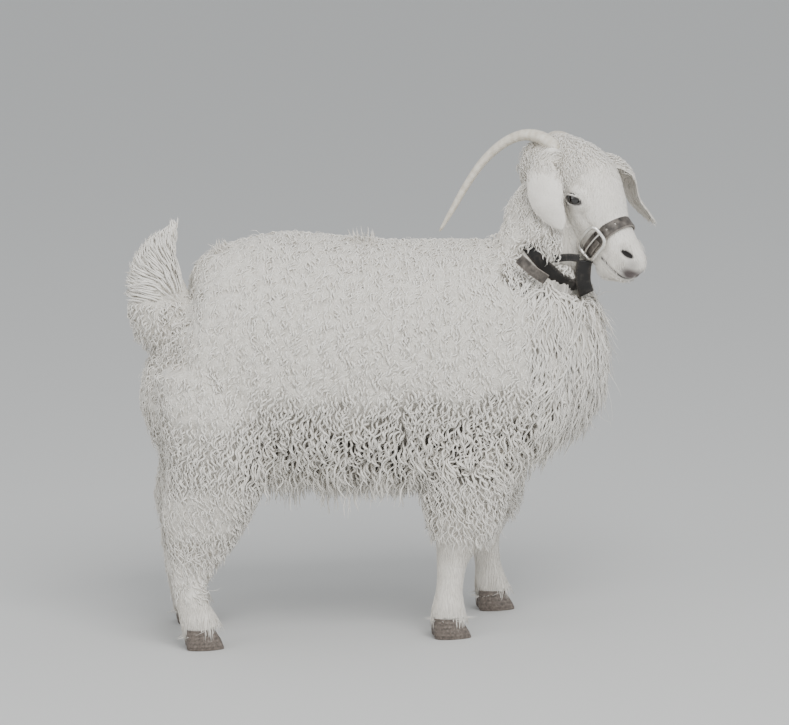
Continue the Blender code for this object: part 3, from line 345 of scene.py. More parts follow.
# %% Stations of the body, in metres
# Each: x, y, z, half width to the side, half height up, half height down, coat depth
TORSO = (
    (-0.382, 0, 0.455, 0.020, 0.040, 0.050, 0.040),
    (-0.371, 0, 0.450, 0.072, 0.094, 0.098, 0.040),
    (-0.338, 0, 0.440, 0.124, 0.149, 0.142, 0.043),
    (-0.280, 0, 0.435, 0.150, 0.190, 0.162, 0.045),
    (-0.190, 0, 0.430, 0.165, 0.219, 0.176, 0.047),
    (-0.080, 0, 0.425, 0.175, 0.213, 0.190, 0.050),
    (0.030, 0, 0.425, 0.176, 0.204, 0.194, 0.050),
    (0.120, 0, 0.430, 0.165, 0.198, 0.186, 0.048),
    (0.195, 0, 0.435, 0.148, 0.186, 0.176, 0.048),
    (0.265, 0, 0.435, 0.118, 0.150, 0.145, 0.050),
    (0.318, 0, 0.430, 0.078, 0.098, 0.095, 0.050),
    (0.340, 0, 0.430, 0.026, 0.040, 0.040, 0.050),
)
NECK = (
    (0.150, 0.000, 0.430, 0.120, 0.120, 0.110, 0.048),
    (0.205, 0.000, 0.505, 0.118, 0.128, 0.132, 0.048),
    (0.240, -0.006, 0.570, 0.094, 0.100, 0.090, 0.044),
    (0.254, -0.012, 0.625, 0.076, 0.086, 0.064, 0.036),
    (0.260, -0.010, 0.675, 0.068, 0.074, 0.056, 0.028),
    (0.262, -0.004, 0.715, 0.056, 0.048, 0.048, 0.022),
    (0.258, 0.000, 0.735, 0.028, 0.026, 0.026, 0.020),
)
TAIL = (
    (-0.318, 0, 0.490, 0.038, 0.050, 0.040, 0.022),
    (-0.360, 0, 0.532, 0.042, 0.060, 0.042, 0.022),
    (-0.374, 0, 0.582, 0.033, 0.046, 0.040, 0.022),
    (-0.366, 0, 0.620, 0.024, 0.032, 0.026, 0.018),
    (-0.352, 0, 0.650, 0.013, 0.014, 0.012, 0.010),
    (-0.344, 0, 0.668, 0.004, 0.004, 0.004, 0.002),
)
# Each of a leg's: x, z, half width, front, back, coat depth
HIND_LEG = (
    (-0.285, 0.440, 0.060, 0.080, 0.095, 0.040),
    (-0.287, 0.380, 0.074, 0.098, 0.098, 0.042),
    (-0.292, 0.310, 0.072, 0.088, 0.088, 0.040),
    (-0.302, 0.250, 0.062, 0.076, 0.078, 0.034),
    (-0.318, 0.195, 0.048, 0.060, 0.070, 0.026),
    (-0.333, 0.150, 0.036, 0.044, 0.046, 0.016),
    (-0.340, 0.108, 0.026, 0.028, 0.032, 0.008),
    (-0.338, 0.070, 0.025, 0.026, 0.028, 0.007),
    (-0.330, 0.045, 0.028, 0.030, 0.032, 0.007),
    (-0.325, 0.030, 0.028, 0.032, 0.032, 0.005),
)
FORE_LEG = (
    (0.105, 0.400, 0.060, 0.080, 0.085, 0.040),
    (0.102, 0.330, 0.066, 0.084, 0.086, 0.040),
    (0.096, 0.265, 0.060, 0.080, 0.080, 0.036),
    (0.090, 0.205, 0.052, 0.066, 0.068, 0.030),
    (0.082, 0.158, 0.038, 0.042, 0.042, 0.018),
    (0.074, 0.122, 0.026, 0.026, 0.027, 0.008),
    (0.070, 0.080, 0.023, 0.022, 0.023, 0.006),
    (0.069, 0.052, 0.026, 0.026, 0.028, 0.006),
    (0.069, 0.030, 0.027, 0.031, 0.031, 0.005),
)
STANCE = {
    "hind_right": {"drawn": HIND_LEG, "foot": (0.000, -0.094), "top": (0.0, -0.082)},
    "hind_left": {"drawn": HIND_LEG, "foot": (0.000, 0.096), "top": (0.0, 0.082)},
    "fore_right": {"drawn": FORE_LEG, "foot": (0.000, -0.094), "top": (0.010, -0.082)},
    "fore_left": {"drawn": FORE_LEG, "foot": (0.099, 0.096), "top": (0.030, 0.082)},
}
# The head's own axes: s along the face from the poll, l to its left, u up off the face.
POLL = np.array([0.278, -0.020, 0.770])
HEAD_TURN, HEAD_DROP = math.radians(47), math.radians(48)
# Each: s, top u, bottom u, widest u, half width, jaw taper, coat depth
HEAD = (
    (-0.040, -0.044, -0.080, -0.060, 0.016, 0.2, 0.012),
    (-0.033, -0.026, -0.098, -0.056, 0.034, 0.2, 0.014),
    (-0.016, -0.004, -0.110, -0.050, 0.046, 0.2, 0.016),
    (0.010, 0.021, -0.115, -0.040, 0.053, 0.3, 0.016),
    (0.045, 0.042, -0.112, -0.030, 0.055, 0.35, 0.016),
    (0.082, 0.048, -0.105, -0.020, 0.053, 0.4, 0.008),
    (0.118, 0.032, -0.095, -0.018, 0.043, 0.35, 0.002),
    (0.150, 0.013, -0.087, -0.020, 0.034, 0.25, 0.001),
    (0.178, 0.006, -0.082, -0.023, 0.029, 0.1, 0.001),
    (0.203, 0.002, -0.083, -0.027, 0.0285, 0.05, 0.001),
    (0.220, -0.002, -0.073, -0.030, 0.026, 0.0, 0.001),
    (0.232, -0.011, -0.060, -0.033, 0.018, 0.0, 0.001),
    (0.236, -0.023, -0.047, -0.034, 0.008, 0.0, 0.001),
)
CORE_SHARE = 0.5  # how far down through the coat the skin lies
print("stations:", {"torso": len(TORSO), "neck": len(NECK), "tail": len(TAIL), "head": len(HEAD)})

# %% [markdown]
# A few stations give a whole part: a smooth curve runs through each column of their table, and a ring is
# worked out at many places along it. All the rings are one array, rows by points round by three.


# %% Curves and rings of points
def unit(v):
    """Vectors over their own length."""
    return v / np.linalg.norm(v, axis=-1, keepdims=True)


def spline(values, at):
    """A smooth curve through evenly numbered values: cubic pieces with their neighbours' slopes."""
    values, at = np.asarray(values, float), np.asarray(at, float)
    slopes = np.gradient(values, axis=0)
    i = np.clip(at.astype(int), 0, len(values) - 2)
    t = (at - i)[:, None]
    return (
        values[i] * (2 * t**3 - 3 * t**2 + 1) + slopes[i] * (t**3 - 2 * t**2 + t)
        + values[i + 1] * (3 * t**2 - 2 * t**3) + slopes[i + 1] * (t**3 - t**2)
    )


def full_turn(count):
    """Evenly spaced angles once round."""
    return np.linspace(0, 2 * math.pi, count, endpoint=False)


def squared(wave, power):
    """A sine or cosine as sign * |value|^power, which squares off the circle that it draws."""
    return np.sign(wave) * np.abs(wave) ** power


def loft_points(stations, share, rows, around, power=2.2, ends=True):
    """Rings along the stations: at angle a the point is side*|cos a|^(2/p), height*|sin a|^(2/p).

    The size is taken in by a share of the coat's depth, and with ends the loft is shortened as well.
    """
    table = np.asarray(stations, float)
    at = spline(table, np.linspace(0, len(table) - 1, rows))
    centre, coat = at[:, :3], at[:, 6] * share
    taper = at[:, 7] if at.shape[1] > 7 else np.zeros(rows)
    if ends:
        middle = centre.mean(axis=0)
        reach = np.linalg.norm(centre - middle, axis=1)
        shrink = 1 - coat.max() / reach.max() * (reach / reach.max()) ** 4
        centre = middle + (centre - middle) * shrink[:, None]
    along = unit(np.gradient(centre, axis=0))
    left = np.array([0.0, 1.0, 0.0])
    side = unit(left - along * (along @ left)[:, None])
    up = np.cross(along, side)
    angles = full_turn(around)
    c, s = np.cos(angles), np.sin(angles)
    sizes = np.maximum(at[:, 3:6] - coat[:, None], 0.15 * at[:, 3:6])
    across = sizes[:, :1] * squared(c, 2 / power) * (1 - taper[:, None] * np.clip(-s, 0, 1))
    height = np.where(s > 0, sizes[:, 1:2], sizes[:, 2:3]) * squared(s, 2 / power)
    return centre[:, None] + across[..., None] * side[:, None] + height[..., None] * up[:, None]


def tube_points(points, radii, sides, flat=1.0, across=(0, 0, 1), closed=False):
    """Rings square to a path: radius * (cos a * first + flat * sin a * second), second nearest to across."""
    points = np.asarray(points, float)
    if closed:
        along = unit(np.roll(points, -1, axis=0) - np.roll(points, 1, axis=0))
    else:
        along = unit(np.gradient(points, axis=0))
    hint = np.broadcast_to(np.asarray(across, float), points.shape)
    second = unit(hint - along * np.sum(hint * along, axis=1, keepdims=True))
    first = np.cross(along, second)
    angles = full_turn(sides) + math.pi / sides
    radii = np.broadcast_to(np.asarray(radii, float), len(points))[:, None, None]
    c, s = np.cos(angles)[None, :, None], np.sin(angles)[None, :, None]
    return points[:, None] + radii * (c * first[:, None] + flat * s * second[:, None])


def globe(rings, segments):
    """Points of a ball of radius 1, ring by ring between its poles: sin a cos b, sin a sin b, cos a."""
    a = np.linspace(0, math.pi, rings + 1)[1:-1, None]
    b = full_turn(segments)[None]
    return np.stack([np.sin(a) * np.cos(b), np.sin(a) * np.sin(b), np.cos(a) + 0 * b], -1)


print("torso rings:", loft_points(TORSO, CORE_SHARE, 40, 48).shape)


# %% Meshes from rings of points
def link(name, mesh, material=None):
    """A mesh as an object of the scene, with its material."""
    obj = bpy.data.objects.new(name, mesh)
    bpy.context.scene.collection.objects.link(obj)
    if material:
        mesh.materials.append(material)
    return obj


def grid_faces(rows, around, wrap_rows=False):
    """The quads between neighbouring rings, each ring wrapped round on itself."""
    i = np.arange(rows if wrap_rows else rows - 1)[:, None] * around
    j = np.arange(around)[None]
    below, above = i, (i + around) % (rows * around)
    k = (j + 1) % around
    return np.stack(np.broadcast_arrays(below + j, below + k, above + k, above + j), -1).reshape(-1, 4)


def cap_faces(rows, around):
    """The fans of triangles that close a tube, to one point past each end, numbered after its rings."""
    j = np.arange(around)
    first, last = rows * around, (rows - 1) * around
    near = np.stack([np.full(around, first), (j + 1) % around, j], 1)
    far = np.stack([np.full(around, first + 1), last + j, last + (j + 1) % around], 1)
    return near, far


def ring_mesh(name, rings, material=None, closed=False):
    """A closed surface over rings of points, a fan of triangles over each end, its faces outwards."""
    rows, around = rings.shape[:2]
    points = rings.reshape(-1, 3)
    faces = grid_faces(rows, around, closed).tolist()
    if not closed:
        points = np.vstack([points, rings[0].mean(axis=0), rings[-1].mean(axis=0)])
        for cap in cap_faces(rows, around):
            faces += cap.tolist()
    mesh = bpy.data.meshes.new(name)
    mesh.from_pydata(points.tolist(), [], faces)
    outwards(mesh)
    mesh.shade_smooth()
    return link(name, mesh, material)


def outwards(mesh):
    """Turns every face of a closed mesh to look outwards."""
    shape = bmesh.new()
    shape.from_mesh(mesh)
    bmesh.ops.recalc_face_normals(shape, faces=shape.faces)
    shape.to_mesh(mesh)
    shape.free()


def read(items, field, width, kind=float):
    """One field of a mesh's points, corners or faces as an array, a row for each."""
    flat = np.empty(len(items) * width, kind)
    items.foreach_get(field, flat)
    return flat.reshape(-1, width)


def move_points(mesh, spots):
    """Puts the mesh's points at new spots."""
    mesh.vertices.foreach_set("co", spots.astype(np.float32).ravel())
    mesh.update()


def give(mesh, **attributes):
    """Adds values to the mesh's points, by name; points past the last value, at the caps, get 0."""
    for name, value in attributes.items():
        layer = mesh.attributes.new(name, "FLOAT", "POINT")
        full = np.zeros(len(mesh.vertices), np.float32)
        full[: len(value)] = value
        layer.data.foreach_set("value", full)


def settled(obj):
    """The object with its modifiers applied."""
    mesh = bpy.data.meshes.new_from_object(obj.evaluated_get(bpy.context.evaluated_depsgraph_get()))
    old, name = obj.data, obj.name
    obj.modifiers.clear()
    obj.data = mesh
    bpy.data.meshes.remove(old)
    mesh.name = name
    return obj


def fused(base, others, operation="UNION"):
    """base joined with, or cut by, closed meshes, which are then removed."""
    helpers = bpy.data.collections.new("helpers")
    for other in others:
        bpy.context.scene.collection.objects.unlink(other)
        helpers.objects.link(other)
    modifier = base.modifiers.new(operation.title(), "BOOLEAN")
    modifier.operation, modifier.solver = operation, "MANIFOLD"
    modifier.operand_type, modifier.collection = "COLLECTION", helpers
    bpy.context.scene.collection.children.link(helpers)
    settled(base)
    for other in others:
        bpy.data.objects.remove(other)
    bpy.data.collections.remove(helpers)
    return base


def leg_stations(stance):
    """The drawn leg, its foot and top moved to where this leg stands."""
    drawn = np.asarray(stance["drawn"], float)
    down = (drawn[0, 1] - drawn[:, 1]) / (drawn[0, 1] - drawn[-1, 1])
    x = drawn[:, 0] + stance["top"][0] * (1 - down) + stance["foot"][0] * down
    y = stance["top"][1] * (1 - down) + stance["foot"][1] * down
    return np.column_stack([x, y, drawn[:, 1:]])


# %% The body's form, and the head's own axes
HEADING = np.array([math.cos(HEAD_TURN), -math.sin(HEAD_TURN), 0.0])
RISE = np.array([0.0, 0.0, 1.0])
DOWN_FACE = HEADING * math.cos(HEAD_DROP) - RISE * math.sin(HEAD_DROP)
OFF_FACE = HEADING * math.sin(HEAD_DROP) + RISE * math.cos(HEAD_DROP)
HEAD_AXES = np.stack([DOWN_FACE, np.cross(OFF_FACE, DOWN_FACE), OFF_FACE], axis=1)


def from_head(points):
    """Points (s, l, u) of the head's own axes in the goat's frame."""
    return np.asarray(points, float) @ HEAD_AXES.T + POLL


def head_places(points):
    """Points of the goat in the head's own axes (s, l, u)."""
    return (points - POLL) @ HEAD_AXES


def head_rings(share, rows, around):
    """The head's loft: its stations turned into the loft's own columns, then placed on the poll."""
    stations = [
        (s, 0, wide, half, top - wide, wide - bottom, coat, taper)
        for s, top, bottom, wide, half, taper, coat in HEAD
    ]
    return from_head(loft_points(stations, share, rows, around, 2.15, ends=False))


def body_form(name, share):
    """Torso, neck, tail and legs joined: the body, the share of its coat's depth in from the tips."""
    torso = ring_mesh(name, loft_points(TORSO, share, 40, 48))
    parts = [ring_mesh("neck_form", loft_points(NECK, share, 30, 40))]
    parts.append(ring_mesh("tail_form", loft_points(TAIL, share, 24, 20)))
    for leg, stance in STANCE.items():
        rings = loft_points(leg_stations(stance), share, 40, 28, ends=False)
        parts.append(ring_mesh(leg + "_form", rings))
    return fused(torso, parts)


print("the face looks", np.round(DOWN_FACE, 2))

# %% [markdown]
# ## The face
# A goat's head is a wedge: a broad brow with the eyes at its sides, a bridge that narrows to a blunt
# muzzle, slit nostrils and a mouth line that runs back along the jaw. One loft gives the wedge. Swellings
# make the brow's edge over each eye and the two lips, and cuts make the nostrils, the mouth and the eyes'
# openings.

# %% Places on the face, in the head's own axes, for its left side
EYE_CENTRE, EYE_LOOK, EYE_RADIUS = (0.0885, 0.0400, -0.0145), (0.34, 0.93, 0.14), 0.0145
EYE_SLANT = math.radians(33)  # the front corner sits higher off the line of the face
LID_LENGTH, LID_HEIGHT = 0.0120, 0.0054
LID_REACH = (0.002, 0.011)  # the cut between the lids: how far before the ball its middle is, and its depth
ORBIT_CENTRE, ORBIT_RADII = (0.0885, 0.0355, -0.0105), (0.033, 0.0165, 0.0240)
NOSTRIL_CENTRE, NOSTRIL_RADII = (0.2100, 0.0235, -0.0070), (0.0120, 0.0066, 0.0035)
NOSTRIL_TURN, NOSTRIL_RISE = math.radians(-24), math.radians(-15)
MOUTH_CORNER, MOUTH_FRONT = (0.190, 0.029, -0.0480), (0.236, 0.000, -0.0410)
LIP_RADIUS, LIP_RISE, MOUTH_GROOVE = 0.0040, 0.0052, 0.0016
MOUTH_TURN = math.radians(92)  # from the front of the muzzle round to each corner of the mouth


def on_side(point, side):
    """A point given for the left, on the side asked for: +1 left, -1 right."""
    return np.array([point[0], point[1] * side, point[2]])


def eye_frame(side):
    """The eye's centre, and its axes: out of the head, along the lids, up across them."""
    look = unit(on_side(EYE_LOOK, side))
    along = np.array([math.cos(EYE_SLANT), 0.0, math.sin(EYE_SLANT)])
    along = unit(along - look * (along @ look))
    up = np.cross(along, look) * -side
    up = up if up[2] > 0 else -up
    return from_head(on_side(EYE_CENTRE, side)), np.array([look, along, up]) @ HEAD_AXES.T


def tree_of(obj):
    """A search tree over the object's faces, for rays and nearest points."""
    mesh = obj.data
    return BVHTree.FromPolygons([v.co for v in mesh.vertices], [p.vertices[:] for p in mesh.polygons])


def ball(name, centre, radii, axes):
    """An ellipsoid with its radii along the three axes, given as rows."""
    local = globe(16, 24) * np.asarray(radii)
    return ring_mesh(name, np.asarray(centre) + local @ np.asarray(axes))


def mouth_line(tree, count, lift, depth):
    """Points round the muzzle from one corner of the mouth to the other, depth under the skin."""
    points = []
    hub = MOUTH_CORNER[0] - 0.004
    for turn in np.linspace(-1, 1, count):
        height = MOUTH_CORNER[2] + (MOUTH_FRONT[2] - MOUTH_CORNER[2]) * (1 - turn**2) + lift
        angle = turn * MOUTH_TURN
        heading = HEAD_AXES @ np.array([math.cos(angle), math.sin(angle), 0.0])
        hit = tree.ray_cast(Vector(from_head([hub, 0.0, height])), Vector(heading))[0]
        points.append(np.array(hit) - depth * heading)
    return points


def nostril_axes(side):
    """The nostril's own axes as rows: along the slit, into the nose, across the slit."""
    slant = Matrix.Rotation(NOSTRIL_TURN * side, 3, "Z") @ Matrix.Rotation(NOSTRIL_RISE, 3, "Y")
    return (HEAD_AXES @ np.array(slant)).T


def head_form(share):
    """The head's loft with orbits and lips, then nostrils, the mouth and the openings of the eyes."""
    head = ring_mesh("head_form", head_rings(share, 110, 96))
    tree = tree_of(head)
    swellings = [
        ball("orbit", from_head(on_side(ORBIT_CENTRE, side)), ORBIT_RADII, HEAD_AXES.T)
        for side in (-1, 1)
    ]
    for lift in (LIP_RISE, -LIP_RISE):
        line = mouth_line(tree, 45, lift, 0.5 * LIP_RADIUS)
        radii = LIP_RADIUS * np.sin(np.linspace(0.25, math.pi - 0.25, 45)) ** 0.5
        swellings.append(ring_mesh("lip", tube_points(line, radii, 14)))
    head = fused(head, swellings)
    groove = mouth_line(tree_of(head), 51, 0.0, 0.0)
    cuts = [ring_mesh("mouth", tube_points(groove, MOUTH_GROOVE, 10))]
    for side in (-1, 1):
        nostril = from_head(on_side(NOSTRIL_CENTRE, side))
        cuts.append(ball("nostril", nostril, NOSTRIL_RADII, nostril_axes(side)))
        eye, (look, along, up) = eye_frame(side)
        before = eye + look * (EYE_RADIUS + LID_REACH[0])
        cuts.append(ball("opening", before, (LID_LENGTH, LID_HEIGHT, LID_REACH[1]), [along, up, look]))
    return fused(head, cuts, "DIFFERENCE")


# %% [markdown]
# The joined forms meet in hard creases, and their faces differ in size. A voxel remesh gives one even
# skin of cells of 1.55 mm, fine enough for lids and lips, and a few rounds of smoothing take its steps
# away. Under the fleece nobody sees it, so there it is thinned to a seventh of its faces.


# %% One skin
SKIN_CELL, SKIN_KEPT = 0.00155, 0.15


def make_skin():
    """Body and head joined, remeshed in small cells, relaxed, and simplified under the fleece."""
    skin = fused(body_form("skin", CORE_SHARE), [head_form(CORE_SHARE)])
    remesh = skin.modifiers.new("Remesh", "REMESH")
    remesh.mode, remesh.voxel_size, remesh.adaptivity = "VOXEL", SKIN_CELL, 0.0
    smooth = skin.modifiers.new("Smooth", "SMOOTH")
    smooth.factor, smooth.iterations = 0.5, 4
    settled(skin)
    spots = read(skin.data.vertices, "co", 3)
    s, l, u = head_places(spots).T
    by_head = (spots[:, 0] > 0.24) & (spots[:, 2] > 0.50)
    on_face = by_head & (s > 0.045) & (np.abs(l) < 0.08) & (u > -0.13)
    woolly = skin.vertex_groups.new(name="woolly")
    woolly.add(np.flatnonzero(~on_face).tolist(), 1.0, "REPLACE")
    thin = skin.modifiers.new("Thin", "DECIMATE")
    thin.ratio, thin.vertex_group = SKIN_KEPT, "woolly"
    settled(skin)
    skin.vertex_groups.clear()
    return skin


SKIN = make_skin()
print("skin:", len(SKIN.data.polygons), "faces")

# %% [markdown]
# Small folds are easier to press into the finished skin than to build: each is a hill or a ridge given by
# a formula, a millimetre or two high, that moves the points along their normals. The lids are drawn out
# over the eye's ball the same way, and the bare and deep places are painted by distance from the mouth,
# the nose and the eyes: deep is a painted shade in the openings, and bare on the front of the muzzle and
# along the mouth is partly painted shade.


# %% Folds of the face, pressed into the skin
# Ridges and grooves of the face: height, start, end and width, for both sides
RIDGES = (
    (0.0022, (0.112, 0.045, -0.036), (0.165, 0.033, -0.056), 0.008),  # cheek
    (-0.0016, (0.106, 0.046, -0.020), (0.140, 0.036, -0.026), 0.006),  # under the eye
    (-0.0016, (0.165, 0.030, -0.020), (0.186, 0.028, -0.040), 0.006),  # behind the lip
    (-0.0016, (0.228, 0.0, -0.010), (0.240, 0.0, -0.036), 0.0022),  # cleft of the lip
)
# Hills: height, centre and reach
HILLS = (
    (0.0024, (0.2050, 0.0250, -0.0020), (0.011, 0.009, 0.0045)),  # nostril's upper wing
    (0.0015, (0.2140, 0.0230, -0.0160), (0.010, 0.009, 0.0045)),  # nostril's lower wing
    (0.0024, (0.202, 0.0, -0.082), (0.014, 0.012, 0.012)),  # chin
    (0.0022, (0.202, 0.027, -0.034), (0.014, 0.010, 0.010)),  # upper lip
)


def bump_at(places, centre, reach):
    """A soft hill round a place: exp(-d^2), with d the distance over reach along each axis."""
    return np.exp(-(((places - centre) / reach) ** 2).sum(1))


def along_line(places, start, end, width):
    """A soft ridge along a line from start to end, as high in its middle as at its ends."""
    start, end = np.asarray(start), np.asarray(end)
    way = end - start
    t = np.clip(((places - start) @ way) / (way @ way), 0, 1)
    gap = np.linalg.norm(places - start - t[:, None] * way, axis=1)
    return np.exp(-((gap / width) ** 2))


def opening_gap(spots, side):
    """Across and up from the middle of the eye's opening over its length and height, and the reach out."""
    centre, (look, along, up) = eye_frame(side)
    local = (spots - centre) @ np.array([along, up, look]).T
    return local[:, 0] / LID_LENGTH, local[:, 1] / LID_HEIGHT, local[:, 2]


def with_lids(spots):
    """Draws the skin round each eye out over the ball: a thick rim, then a fold above it."""
    for side in (-1, 1):
        centre = eye_frame(side)[0]
        x, y, out = opening_gap(spots, side)
        ring = np.sqrt(x**2 + y**2)
        away = spots - centre
        reach = np.linalg.norm(away, axis=1)
        rim = 0.0007 + 0.0013 * np.exp(-(((ring - 1.22) / 0.24) ** 2))
        rim = rim - 0.0014 * np.exp(-(((ring - 1.95) / 0.25) ** 2)) * (y > 0.3)
        around = (out > 0) & (ring > 0.97) & (ring < 2.6) & (reach < EYE_RADIUS + 0.007)
        lifted = np.maximum(reach, EYE_RADIUS + rim)
        lifted = np.where((ring > 1.6) & (y > 0.3), reach + np.minimum(rim - 0.0007, 0), lifted)
        spots = np.where(around[:, None], centre + away * (lifted / reach)[:, None], spots)
    return spots


def pressed(skin):
    """Cheek ridge, nostril wings, the cleft of the lip and the chin as small moves, then the lids."""
    mesh = skin.data
    spots, ways = read(mesh.vertices, "co", 3), read(mesh.vertices, "normal", 3)
    places = head_places(spots)
    half = places * (1, 0, 1) + np.abs(places) * (0, 1, 0)
    move = np.zeros(len(spots))
    for height, start, end, width in RIDGES:
        move += height * along_line(half, start, end, width)
    for height, centre, reach in HILLS:
        move += height * bump_at(half, centre, reach)
    spots = with_lids(spots + ways * move[:, None])
    move_points(mesh, spots)
    return spots, half


def gap_to(spots, line):
    """How far each spot is from the nearest of a line's points."""
    return np.linalg.norm(spots[:, None] - np.asarray(line)[None], axis=2).min(axis=1)


def painted(skin, spots, half):
    """Bare on lips, nose and lid rims, warm where blood shows, deep inside nostrils, mouth and eye openings;
    deep is painted shade, and so is part of bare's grey on the muzzle and mouth.
    """
    # Bare skin on the front of the muzzle, made larger and darker as a painted shade under the nose
    bare = np.minimum(1.7 * bump_at(half, (0.2290, 0.009, -0.0285), (0.0130, 0.017, 0.0125)), 1.0)
    bare = np.maximum(bare, 0.65 * bump_at(half, (0.2240, 0.015, -0.0150), (0.013, 0.012, 0.011)))
    bare = np.maximum(bare, 0.80 * bump_at(half, NOSTRIL_CENTRE, (0.0140, 0.010, 0.0056)))
    near = np.flatnonzero((half[:, 0] > 0.17) & (half[:, 2] < -0.01))
    gap = gap_to(spots[near], mouth_line(tree_of(skin), 61, 0.0, 0.0015))
    # Along the mouth line, bare and deep paint the shade of its groove
    bare[near] = np.maximum(bare[near], np.exp(-((gap / 0.0034) ** 2)))
    deep = np.zeros(len(spots))
    deep[near] = 0.95 * np.exp(-((gap / 0.0023) ** 4))
    for side in (-1, 1):
        x, y, out = opening_gap(spots, side)
        ring = np.sqrt((x / 1.1) ** 2 + (y / 1.2) ** 2)
        rim = np.exp(-(((ring - 1.0) / 0.20) ** 2)) * (out > 0)
        bare = np.maximum(bare, rim)
        # A dark ring just inside the eye's opening: painted shade
        deep = np.maximum(deep, 0.8 * (out > 0) * np.exp(-(((ring - 0.85) / 0.16) ** 2)))
        # Inside each nostril: painted shade
        local = (spots - from_head(on_side(NOSTRIL_CENTRE, side))) @ nostril_axes(side).T
        inside = np.linalg.norm(local / np.array(NOSTRIL_RADII), axis=1)
        deep = np.maximum(deep, np.clip((1.30 - inside) / 0.25, 0, 1))
    warm = 0.10 * bump_at(half, (0.2340, 0.004, -0.0280), (0.016, 0.020, 0.010))
    give(skin.data, bare=bare.clip(0, 1), warm=warm.clip(0, 1), deep=deep.clip(0, 1))


skin_spots, skin_half = pressed(SKIN)
painted(SKIN, skin_spots, skin_half)
print("face pressed and painted")

# %% [markdown]
# ## Ears
# The ears hang: each leaves the head sideways, turns over and droops as a long leaf, rolled at its root
# and opening towards its tip. It is a loft of lens-shaped slices, three millimetres thick with thin
# rounded edges, bent round the ear's hollow. Short hair covers it outside, and wool from the crown spills
# over its root.

# %% Ears
EARS = {
    "ear_right": {
        "path": (
            (0.266, -0.052, 0.743), (0.246, -0.070, 0.751), (0.2310, -0.087, 0.724),
            (0.2345, -0.098, 0.687), (0.2580, -0.097, 0.6475),
        ),
        "hollow": (0.30, 0.93, 0.10),
        "half_width": (0.014, 0.022, 0.028, 0.030, 0.029, 0.022, 0.008),
    },
    "ear_left": {
        "path": (
            (0.318, 0.004, 0.738), (0.350, 0.013, 0.744), (0.384, 0.024, 0.722),
            (0.399, 0.028, 0.678), (0.4270, 0.026, 0.6380),
        ),
        "hollow": (-0.60, -0.26, -0.60),
        "half_width": (0.014, 0.022, 0.030, 0.029, 0.024, 0.019, 0.009),
    },
}
EAR_THICK, EAR_RIB = 0.0036, 0.0005
EAR_CURL = (1.45, 1.2, 0.9, 0.72, 0.6, 0.5, 0.4)  # radians from the midrib to each edge


def ear(name, rows=72, columns=30):
    """A drooping leaf: slices of a lens, 1 - w^4 thick, bent to an arc that opens from root to tip."""
    path = np.array(EARS[name]["path"])
    t = np.linspace(0, 1, rows)
    middle = spline(path, t * (len(path) - 1))
    along = unit(np.gradient(middle, axis=0))
    hollow = np.array(EARS[name]["hollow"])
    hollow = unit(hollow - along * (along @ hollow)[:, None])
    across = np.cross(along, hollow)
    shape = spline(np.array([EARS[name]["half_width"], EAR_CURL]).T, t * (len(EAR_CURL) - 1))
    shape[:, 0] *= np.sqrt(np.clip((1.004 - t) / 0.05, 0, 1)).clip(0.05)
    turn = full_turn(2 * columns)
    w, face = np.cos(turn)[None], np.sin(turn)[None]
    ribs = EAR_RIB * np.cos(w * 9) * (face > 0.05) * np.clip(t * 3, 0, 1)[:, None]
    off = face * EAR_THICK / 2 * np.clip(1.15 - w**4, 0, 1) + ribs
    radius = (shape[:, 0] / shape[:, 1])[:, None]
    angle = w * shape[:, 1:2]
    sideways, inwards = (radius - off) * np.sin(angle), radius - (radius - off) * np.cos(angle)
    rings = middle[:, None] + sideways[..., None] * across[:, None] + inwards[..., None] * hollow[:, None]
    made = ring_mesh(name + "_skin", rings, HIDE)
    inner = np.clip(face, 0, 1) * (1 - np.abs(w) ** 3) * np.clip(1.3 - t, 0, 1)[:, None]
    give(made.data, warm=0.14 * inner.ravel(), bare=np.zeros(inner.size))
    return made


ears = [ear(name) for name in EARS]
print("ears:", [len(e.data.polygons) for e in ears])

# %% [markdown]
# ## Horns
# A doe's horns sweep back and out from the crown, flattened from side to side, and thin to a blunt tip. A
# ring is left each season: close ridges at the root that fade out along the horn.

# %% Horns
HORN_BASE = np.array([-0.004, 0.0240, -0.004])  # of the left horn, in the head's own axes
# Each: how far back along the head's heading (forward is less than 0), outward and up from the base; radius
HORN_TABLE = (
    (-0.008, -0.003, -0.016, 0.0145),
    (0.000, 0.000, 0.000, 0.0142),
    (0.022, 0.006, 0.015, 0.0125),
    (0.050, 0.016, 0.018, 0.0110),
    (0.080, 0.030, 0.004, 0.0096),
    (0.108, 0.046, -0.025, 0.0085),
    (0.130, 0.061, -0.062, 0.0074),
    (0.149, 0.075, -0.102, 0.0058),
    (0.165, 0.088, -0.136, 0.0026),
)
HORN_FLAT, HORN_LEFT_DROP = 0.80, 0.011
HORN_RINGS, RING_HEIGHT = 24, 0.026  # ridges along the horn, and the height of the first over its radius


